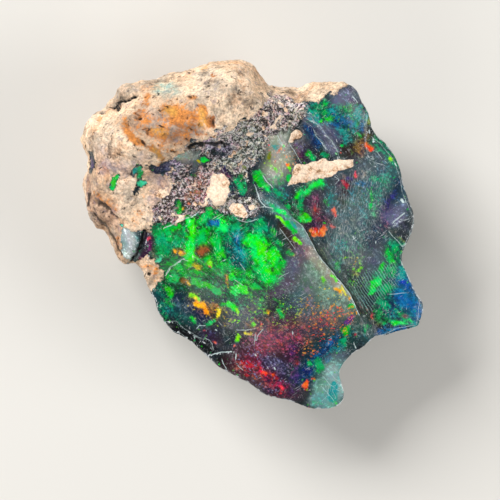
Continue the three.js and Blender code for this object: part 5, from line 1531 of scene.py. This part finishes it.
@dataclass
class OpalStone:
    """The stone: a fine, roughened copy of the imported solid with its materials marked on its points."""

    longest_mm: float = 2.0
    halvings: int = 3
    cuts: int = 3
    smoothings: int = 3
    smoothing: float = 0.5
    join_mm: float = 0.002
    # Points up to the first height stay on the flat; the relief is whole from the second one up.
    flat_mm: float = 0.02
    relief_mm: float = 0.4
    # Each row of lumps: how wide and how high they are, in millimetres.
    crust_lumps: Lumps = ((1.7, 0.16), (0.7, 0.11), (0.3, 0.04))
    sand_lumps: Lumps = ((0.6, 0.06), (0.28, 0.04))
    opal_waves: Lumps = ((1.5, 0.04), (0.5, 0.015))
    edge_chips: Lumps = ((0.9, 0.1), (0.4, 0.06))
    cream_rise: float = 0.09
    # A groove's foot and shoulder, as shares of its reach.
    groove_foot: float = 0.3
    groove_shoulder: float = 1.4
    step_half_mm: float = 0.05
    step_end_mm: float = 0.3
    # How sharply the surface bends, per millimetre, where an edge starts to chip and where it is worn.
    worn_bend: Range = (0.5, 1.5)
    rim_bend: Range = (0.12, 0.5)
    # The rim is a thin painted highlight along slopes near this one.
    rim_slope: float = 0.45
    rim_slope_range: Range = (0.24, 0.08)
    rim_glint: float = 0.8
    finish: StoneFinish = StoneFinish()

    def build(self, node: bpy.types.Object) -> bpy.types.Object:
        """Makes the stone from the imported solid.

        Args:
            node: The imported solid.

        Returns:
            The finished piece.
        """
        mesh = bpy.data.meshes.new(PIECE_NAME)
        shape = self.fine_copy(node)
        places, normals = read_mesh(shape)
        marks = StoneMarks(places, normals)
        moved = (places + normals * self.relief(marks)[:, None]) * MM
        for vert, spot in zip(shape.verts, moved):
            vert.co = spot
        shape.normal_update()
        wear_and_glint = self.edge_wear_and_glint(shape)
        for face in shape.faces:
            face.smooth = True
        shape.to_mesh(mesh)
        shape.free()
        marks.store(mesh, wear_and_glint)
        piece = bpy.data.objects.new(PIECE_NAME, mesh)
        bpy.context.scene.collection.objects.link(piece)
        mesh.materials.append(self.finish.build())
        log.info("%s: %d faces", PIECE_NAME, len(mesh.polygons))
        return piece

    def fine_copy(self, node: bpy.types.Object) -> bmesh.types.BMesh:
        """Copies the solid, joins its loose triangles and makes them finer and softer.

        Args:
            node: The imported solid.

        Returns:
            The fine mesh, in metres.
        """
        shape = bmesh.new()
        shape.from_mesh(node.data)
        bmesh.ops.remove_doubles(shape, verts=shape.verts[:], dist=self.join_mm * MM)
        for _ in range(self.halvings):
            self.cut(shape, [e for e in shape.edges if e.calc_length() > self.longest_mm * MM], 1)
        self.cut(shape, shape.edges[:], self.cuts)
        for _ in range(self.smoothings):
            raised = [v for v in shape.verts if v.co.z > self.flat_mm * MM]
            bmesh.ops.smooth_vert(shape, verts=raised, factor=self.smoothing,
                                  use_axis_x=True, use_axis_y=True, use_axis_z=True)
        shape.normal_update()
        return shape

    def cut(self, shape: bmesh.types.BMesh, edges: list[bmesh.types.BMEdge], cuts: int) -> None:
        """Cuts each edge into equal parts and leaves only triangles."""
        bmesh.ops.subdivide_edges(shape, edges=edges, cuts=cuts, use_grid_fill=True)
        bmesh.ops.triangulate(shape, faces=[f for f in shape.faces if len(f.verts) > 3])

    def relief(self, marks: "StoneMarks") -> np.ndarray:
        """How far each point moves out along its normal.

        Args:
            marks: The stone's marked zones.

        Returns:
            Millimetres, below 0 for hollows.
        """
        crust, sandy, cream = marks.crust, marks.sandy * (1 - marks.crust), marks.cream
        opal = (1 - crust) * (1 - sandy) * (1 - cream)
        total = np.zeros(len(crust))
        for share, lumps in ((crust, self.crust_lumps), (sandy, self.sand_lumps),
                             (opal, self.opal_waves)):
            for seed, (width, height) in enumerate(lumps, 1):
                total += share * height * ripple(marks.places, width, 3, seed)
        for seed, (width, height) in enumerate(self.edge_chips, 7):
            chips = 1 + ripple(marks.places, width, 3, seed)
            total -= (1 - crust) * (1 - marks.facing) * height * chips
        total += self.cream_rise * cream
        for cut in GROOVES:
            distance, _, _ = along_path(marks.plan, cut.path)
            inside = ease(distance, cut.reach * self.groove_shoulder, cut.reach * self.groove_foot)
            total -= cut.depth * marks.above * inside
        for step in STEPS:
            _, side, past = along_path(marks.plan, step.path)
            low = ease(side, self.step_half_mm, -self.step_half_mm)
            low = low * ease(-side, step.run_out, 0.0) * ease(past, self.step_end_mm, 0.0)
            total -= step.drop * marks.above * low
        return total * ease(marks.places[:, 2], self.flat_mm, self.relief_mm)

    def edge_wear_and_glint(self, shape: bmesh.types.BMesh) -> np.ndarray:
        """Finds the sharp outward edges, where opal chips and turns pale, and a thin rim along steep slopes
        painted as a highlight.

        Args:
            shape: The finished mesh.

        Returns:
            0 to 1 for each point.
        """
        places, normals = read_mesh(shape)
        ends = np.array([[e.verts[0].index, e.verts[1].index] for e in shape.edges])
        run = places[ends[:, 1]] - places[ends[:, 0]]
        length = np.maximum((run ** 2).sum(axis=1), TINY)
        bend = np.zeros(len(places))
        count = np.zeros(len(places))
        for here, sign in ((0, -1.0), (1, 1.0)):
            turn = sign * (normals[ends[:, here]] * run).sum(axis=1) / length
            np.add.at(bend, ends[:, here], turn)
            np.add.at(count, ends[:, here], 1)
        worn = ease(bend / count, *self.worn_bend)
        rim = ease(bend / count, *self.rim_bend)
        rim = rim * ease(np.abs(normals[:, 2] - self.rim_slope), *self.rim_slope_range)
        return np.maximum(worn, self.rim_glint * rim)


@dataclass
class StoneMarks:
    """Every mark on the stone, worked out for each of its points.

    Lengths are in millimetres. A slope is how far a point's normal turns up: 1 is level, 0 upright.
    """

    places: np.ndarray
    normals: np.ndarray
    # Over these slopes and heights the drawn face gives way to the sides, for colours and for relief.
    face_slope: Range = (-0.05, 0.38)
    face_height: Range = (1.5, 3.5)
    above_slope: Range = (-0.25, 0.1)
    above_height: Range = (1.5, 3.0)
    # How wide the noise is that frays what is drawn, and how far it moves outlines and lines.
    wander_width: float = 0.7
    outline_wander: float = 0.16
    line_wander: float = 0.05
    crust_wander_width: float = 0.9
    crust_wander: float = 0.42
    # Distances from each outline over which its zone fades in.
    crust_edge: Range = (-0.22, 0.22)
    sand_edge: Range = (-0.25, 0.25)
    ribbed_edge: Range = (-0.2, 0.3)
    hatched_edge: Range = (-0.3, 0.6)
    cream_edge: Range = (-0.1, 0.1)
    gap_soft: float = 0.5
    window_soft: float = 0.4
    window_open: Range = (0.3, 0.7)
    # On the sides and back the host rock lies beyond a slanting plane, a little wavy.
    slant: tuple[float, float, float] = (-0.62, 0.72, -0.12)
    slant_distance: float = 3.0
    slant_sharpness: float = 0.4
    slant_wave: float = 0.7
    slant_wave_width: float = 3.3
    crumb_width: float = 0.5
    crumb_noise: Range = (0.34, 0.5)
    crumb_share: float = 0.75
    # On the sides and back the flashes are noise: where they are, and where they turn warm.
    side_flash_width: float = 1.4
    side_flash_noise: Range = (0.12, 0.55)
    side_flash_share: float = 0.62
    side_hue_width: float = 2.5
    side_warm_width: float = 2.6
    side_warm_noise: Range = (0.22, 0.42)
    side_warm_share: float = 0.9
    flash_soft: float = 0.8
    # From this share up a flash takes its own colour, and dims what lies below by the second number.
    flash_whole: float = 0.5
    flash_hides: float = 0.3
    # Half widths that count as far from every line, and how far round a line it is looked for.
    line_far: float = 9.0
    line_reach: float = 0.2
    line_fade: Range = (0.13, 0.08)
    line_end: float = 0.1
    least_specks: float = 0.03
    speck_whole: float = 0.3
    wear_and_glint_patch_width: float = 0.3
    wear_and_glint_patch_noise: Range = (-0.2, 0.4)
    least_wear_and_glint: float = 0.35

    def __post_init__(self) -> None:
        """Works out the zones."""
        up, height = self.normals[:, 2], self.places[:, 2]
        self.plan = self.places[:, :2]
        self.facing = ease(up, *self.face_slope) * ease(height, *self.face_height)
        self.above = ease(up, *self.above_slope) * ease(height, *self.above_height)
        wander = self.stir(self.wander_width, 3, 11)
        self.loose_plan = self.plan + self.outline_wander * wander
        self.line_plan = self.plan + self.line_wander * wander
        self.crust = self.crust_zone()
        gaps = np.max([gap.cover(self.loose_plan, self.gap_soft) for gap in SAND_GAPS], axis=0)
        self.sandy = self.zone(SANDY, self.sand_edge) * (1 - gaps)
        self.cream = self.cream_zone()
        self.ribbed = self.zone(RIBBED, self.ribbed_edge)
        self.hatched = self.zone(HATCHED, self.hatched_edge)

    def stir(self, width: float, octaves: int, seed: int) -> np.ndarray:
        """Noise in both directions of the plan."""
        return np.stack([ripple(self.places, width, octaves, seed + i) for i in (0, 1)], axis=1)

    def zone(self, outline: Path, edge: Range) -> np.ndarray:
        """How far each point of the face lies in an outline, from 0 to 1."""
        return self.facing * ease(inside_outline(self.loose_plan, outline), *edge)

    def crust_zone(self) -> np.ndarray:
        """Where the host rock covers the stone: drawn on the broken face, one slanting half elsewhere.

        Returns:
            0 to 1 for each point.
        """
        loose = self.plan + self.crust_wander * self.stir(self.crust_wander_width, 4, 15)
        drawn = np.maximum(inside_outline(loose, CRUST), inside_outline(self.loose_plan, CRUST_PATCH))
        opened = np.max([window.cover(self.loose_plan, self.window_soft) for window in WINDOWS], axis=0)
        x, y, z = self.places.T
        across = self.slant[0] * x + self.slant[1] * y + self.slant[2] * z
        across = across + self.slant_wave * ripple(self.places, self.slant_wave_width, 2, 21)
        slanting = (across - self.slant_distance) * self.slant_sharpness
        mixed = drawn * self.facing + slanting * (1 - self.facing)
        return ease(mixed, *self.crust_edge) * (1 - ease(opened * self.above, *self.window_open))

    def cream_zone(self) -> np.ndarray:
        """Where pale claystone bits and crumbs stand in the broken face.

        Returns:
            0 to 1 for each point.
        """
        depth = np.max([inside_outline(self.loose_plan, bit) for bit in CREAM_BITS], axis=0)
        crumbs = ease(ripple(self.places, self.crumb_width, 3, 61), *self.crumb_noise)
        crumbs = self.crumb_share * self.sandy * crumbs
        return self.facing * np.maximum(ease(depth, *self.cream_edge), crumbs)

    def laid(self, base: np.ndarray, marks: tuple[Mark, ...], soft: float,
             whole: float = 1.0) -> tuple[np.ndarray, np.ndarray]:
        """Lays marks over a base colour, one after another.

        Args:
            base: The colours below: one for the whole stone, or one row for each point.
            marks: What is laid down.
            soft: How wide the marks' soft edges are.
            whole: The share from which a mark's colour is laid down unmixed.

        Returns:
            The colours, and how much of them the marks cover.
        """
        colours = np.ones((len(self.plan), 3)) * base
        cover = np.zeros(len(colours))
        for one in marks:
            share = one.cover(self.loose_plan, soft) * self.facing
            colours += np.minimum(share / whole, 1.0)[:, None] * (shade(one.hue) - colours)
            cover = np.maximum(cover, share)
        return colours, cover

    def blend(self, low: Hue, high: Hue, width: float, seed: int) -> np.ndarray:
        """Mixes two colours by soft noise."""
        share = ease(ripple(self.places, width, 3, seed), -0.35, 0.35)[:, None]
        return shade(low) * (1 - share) + shade(high) * share

    def flashes(self) -> tuple[np.ndarray, np.ndarray]:
        """The flashes' colours and shares: drawn on the face, scattered by noise elsewhere.

        Returns:
            Each point's colour, and how much of it shows.
        """
        colours = self.blend(Hue.GREEN, Hue.AZURE, self.side_hue_width, 31)
        warmth = ease(ripple(self.places, self.side_warm_width, 2, 32), *self.side_warm_noise)
        warm = self.side_warm_share * warmth[:, None]
        colours = colours * (1 - warm) + shade(Hue.ORANGE) * warm
        scattered = ease(ripple(self.places, self.side_flash_width, 3, 33), *self.side_flash_noise)
        cover = self.side_flash_share * scattered * (1 - self.facing)
        for one in VEILS + FLASHES:
            share = one.cover(self.loose_plan, self.flash_soft) * self.facing
            weight = ease(share, 0.0, self.flash_whole)[:, None]
            colours += weight * (shade(one.hue) - colours)
            cover = np.maximum(cover * (1 - self.flash_hides * weight[:, 0]), share)
        return colours, cover

    def lines(self) -> np.ndarray:
        """Measures the nearest drawn line.

        Returns:
            For each point, how many half widths away it is, and how pale and how dark it is.
        """
        offset = np.full(len(self.plan), self.line_far)
        light = np.zeros(len(self.plan))
        for one in SCRATCHES:
            distance, side, past = along_path(self.line_plan, one.path)
            scaled = side / one.half_width
            closer = (np.abs(scaled) < np.abs(offset)) & (distance < self.line_reach + one.half_width)
            offset = np.where(closer, scaled, offset)
            near = ease(distance, *(one.half_width + reach for reach in self.line_fade))
            shown = one.light * ease(past, self.line_end, 0.0) * near * self.above
            light = np.where(closer, shown, light)
        offset = np.clip(offset, -self.line_far, self.line_far)
        return np.stack([offset, np.maximum(light, 0), np.maximum(-light, 0)], axis=1)

    def store(self, mesh: bpy.types.Mesh, wear_and_glint: np.ndarray) -> None:
        """Writes the marks on the mesh's points for the material to read.

        Args:
            mesh: The stone's mesh.
            wear_and_glint: How worn each point is, with the painted highlight along the rims.
        """
        rock, _ = self.laid(self.blend(Hue.SAND, Hue.SAND_LIGHT, 1.8, 41), GREYS, 0.8)
        stain, soaked = self.laid(shade(Hue.STAIN), STAINS, 0.8)
        sand, _ = self.laid(shade(Hue.SAND_MIX), SAND_TINTS, 0.9)
        ground, _ = self.laid(self.blend(Hue.SLATE, Hue.SMOKE, 1.6, 42), GROUND, 0.9)
        speck, crowd = self.laid(shade(Hue.GREEN), SPECKS, 0.9, self.speck_whole)
        flash, share = self.flashes()
        zones = np.stack([self.crust, self.sandy, self.cream], axis=1)
        # Worn edges and the painted rim highlight are broken into patches.
        patchy = ease(ripple(self.places, self.wear_and_glint_patch_width, 2, 51), *self.wear_and_glint_patch_noise)
        scars_and_glints = wear_and_glint * (self.least_wear_and_glint + (1 - self.least_wear_and_glint) * patchy)
        for name, values, fourth in (("rock_colour", rock, None), ("stain_colour", stain, soaked),
                                     ("sand_colour", sand, None), ("ground_colour", ground, None),
                                     ("speck_colour", speck, np.maximum(crowd, self.least_specks)),
                                     ("flash_colour", flash, share), ("rock_shares", zones, None),
                                     ("line_marks", self.lines(), None)):
            write_colours(mesh, name, values, fourth)
        for name, values in (("edge_wear_and_glint", scars_and_glints), ("rib_share", self.ribbed),
                             ("hatch_share", self.hatched)):
            write_values(mesh, name, values)


def write_values(mesh: bpy.types.Mesh, name: str, values: np.ndarray) -> None:
    """Stores one number on each of the mesh's points."""
    attribute = mesh.attributes.new(name, "FLOAT", "POINT")
    attribute.data.foreach_set("value", values.astype(np.float32))


def write_colours(mesh: bpy.types.Mesh, name: str, values: np.ndarray,
                  fourth: np.ndarray | None) -> None:
    """Stores a colour on each point, with a fourth number beside it.

    Args:
        mesh: The mesh that gets them.
        name: The attribute's name.
        values: One row of three for each point.
        fourth: One number for each point, or none for 1.
    """
    attribute = mesh.attributes.new(name, "FLOAT_COLOR", "POINT")
    last = np.ones(len(values)) if fourth is None else fourth
    full = np.concatenate([values, last[:, None]], axis=1)
    attribute.data.foreach_set("color", full.astype(np.float32).ravel())


@dataclass(frozen=True)
class Lamp:
    """A square soft light aimed at the stone, in millimetres and watts."""

    name: str
    place: tuple[float, float, float]
    size: float
    watts: float

    def build(self) -> None:
        """Adds the light."""
        data = bpy.data.lights.new(self.name, "AREA")
        data.shape = "SQUARE"
        data.size = self.size * MM
        data.energy = self.watts
        lamp = bpy.data.objects.new(self.name, data)
        lamp.location = Vector(self.place) * MM
        lamp.rotation_euler = (-Vector(self.place)).to_track_quat("-Z", "Y").to_euler()
        bpy.context.scene.collection.objects.link(lamp)


@dataclass
class Studio:
    """A pale table, soft lights and a camera that looks straight down, in millimetres."""

    lamps: tuple[Lamp, ...] = (
        Lamp("key", (-175.0, 175.0, 170.0), 150.0, 1.32),
        Lamp("fill", (240.0, -60.0, 120.0), 160.0, 0.6),
        Lamp("low", (-120.0, -230.0, 120.0), 160.0, 0.32),
    )
    room_light: float = 0.19
    view_width: float = 30.0
    view_centre: Point = (-0.18, -0.89)
    focus_height: float = 6.0
    lens: float = 300.0
    sensor: float = 36.0
    # Nearest and farthest that the camera sees, in metres.
    clip: Range = (0.01, 10.0)
    floor_size: float = 1200.0
    floor_roughness: float = 0.9

    def build(self) -> None:
        """Makes the floor, the lights, the world and the camera."""
        self.floor()
        for lamp in self.lamps:
            lamp.build()
        self.world()
        self.camera()
        bpy.context.scene.view_settings.view_transform = "Standard"

    def floor(self) -> None:
        """Adds a plain pale table."""
        shape = bmesh.new()
        bmesh.ops.create_grid(shape, x_segments=1, y_segments=1, size=self.floor_size / 2 * MM)
        mesh = bpy.data.meshes.new("pale_floor")
        shape.to_mesh(mesh)
        shape.free()
        floor = bpy.data.objects.new("pale_floor", mesh)
        bpy.context.scene.collection.objects.link(floor)
        material = bpy.data.materials.new("painted_board_matt")
        material.use_nodes = True
        skin = material.node_tree.nodes["Principled BSDF"]
        skin.inputs["Base Color"].default_value = linear(Hue.FLOOR)
        skin.inputs["Roughness"].default_value = self.floor_roughness
        mesh.materials.append(material)
        floor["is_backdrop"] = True

    def world(self) -> None:
        """Adds an even pale surround."""
        world = bpy.data.worlds.new("soft_room")
        world.use_nodes = True
        back = world.node_tree.nodes["Background"]
        back.inputs["Color"].default_value = (1.0, 1.0, 1.0, 1.0)
        back.inputs["Strength"].default_value = self.room_light
        bpy.context.scene.world = world

    def camera(self) -> None:
        """Adds the camera, high over the stone."""
        data = bpy.data.cameras.new("camera")
        data.lens = self.lens
        data.sensor_width = self.sensor
        data.clip_start, data.clip_end = self.clip
        camera = bpy.data.objects.new("camera", data)
        away = self.view_width * self.lens / self.sensor
        camera.location = Vector((*self.view_centre, self.focus_height + away)) * MM
        bpy.context.scene.collection.objects.link(camera)
        bpy.context.scene.camera = camera


def main() -> None:
    """Loads the frame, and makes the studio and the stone."""
    logging.basicConfig(level=logging.INFO, format="%(message)s")
    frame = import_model()
    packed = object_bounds()
    Studio().build()
    stone = OpalStone().build(frame["nodes"][NODE_NAME])
    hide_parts(NODE_NAME)
    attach(stone, "root")
    boxes = {"cad": [list(corner) for corner in packed], "visual": [list(corner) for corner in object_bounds()]}


if __name__ == "__main__":
    main()
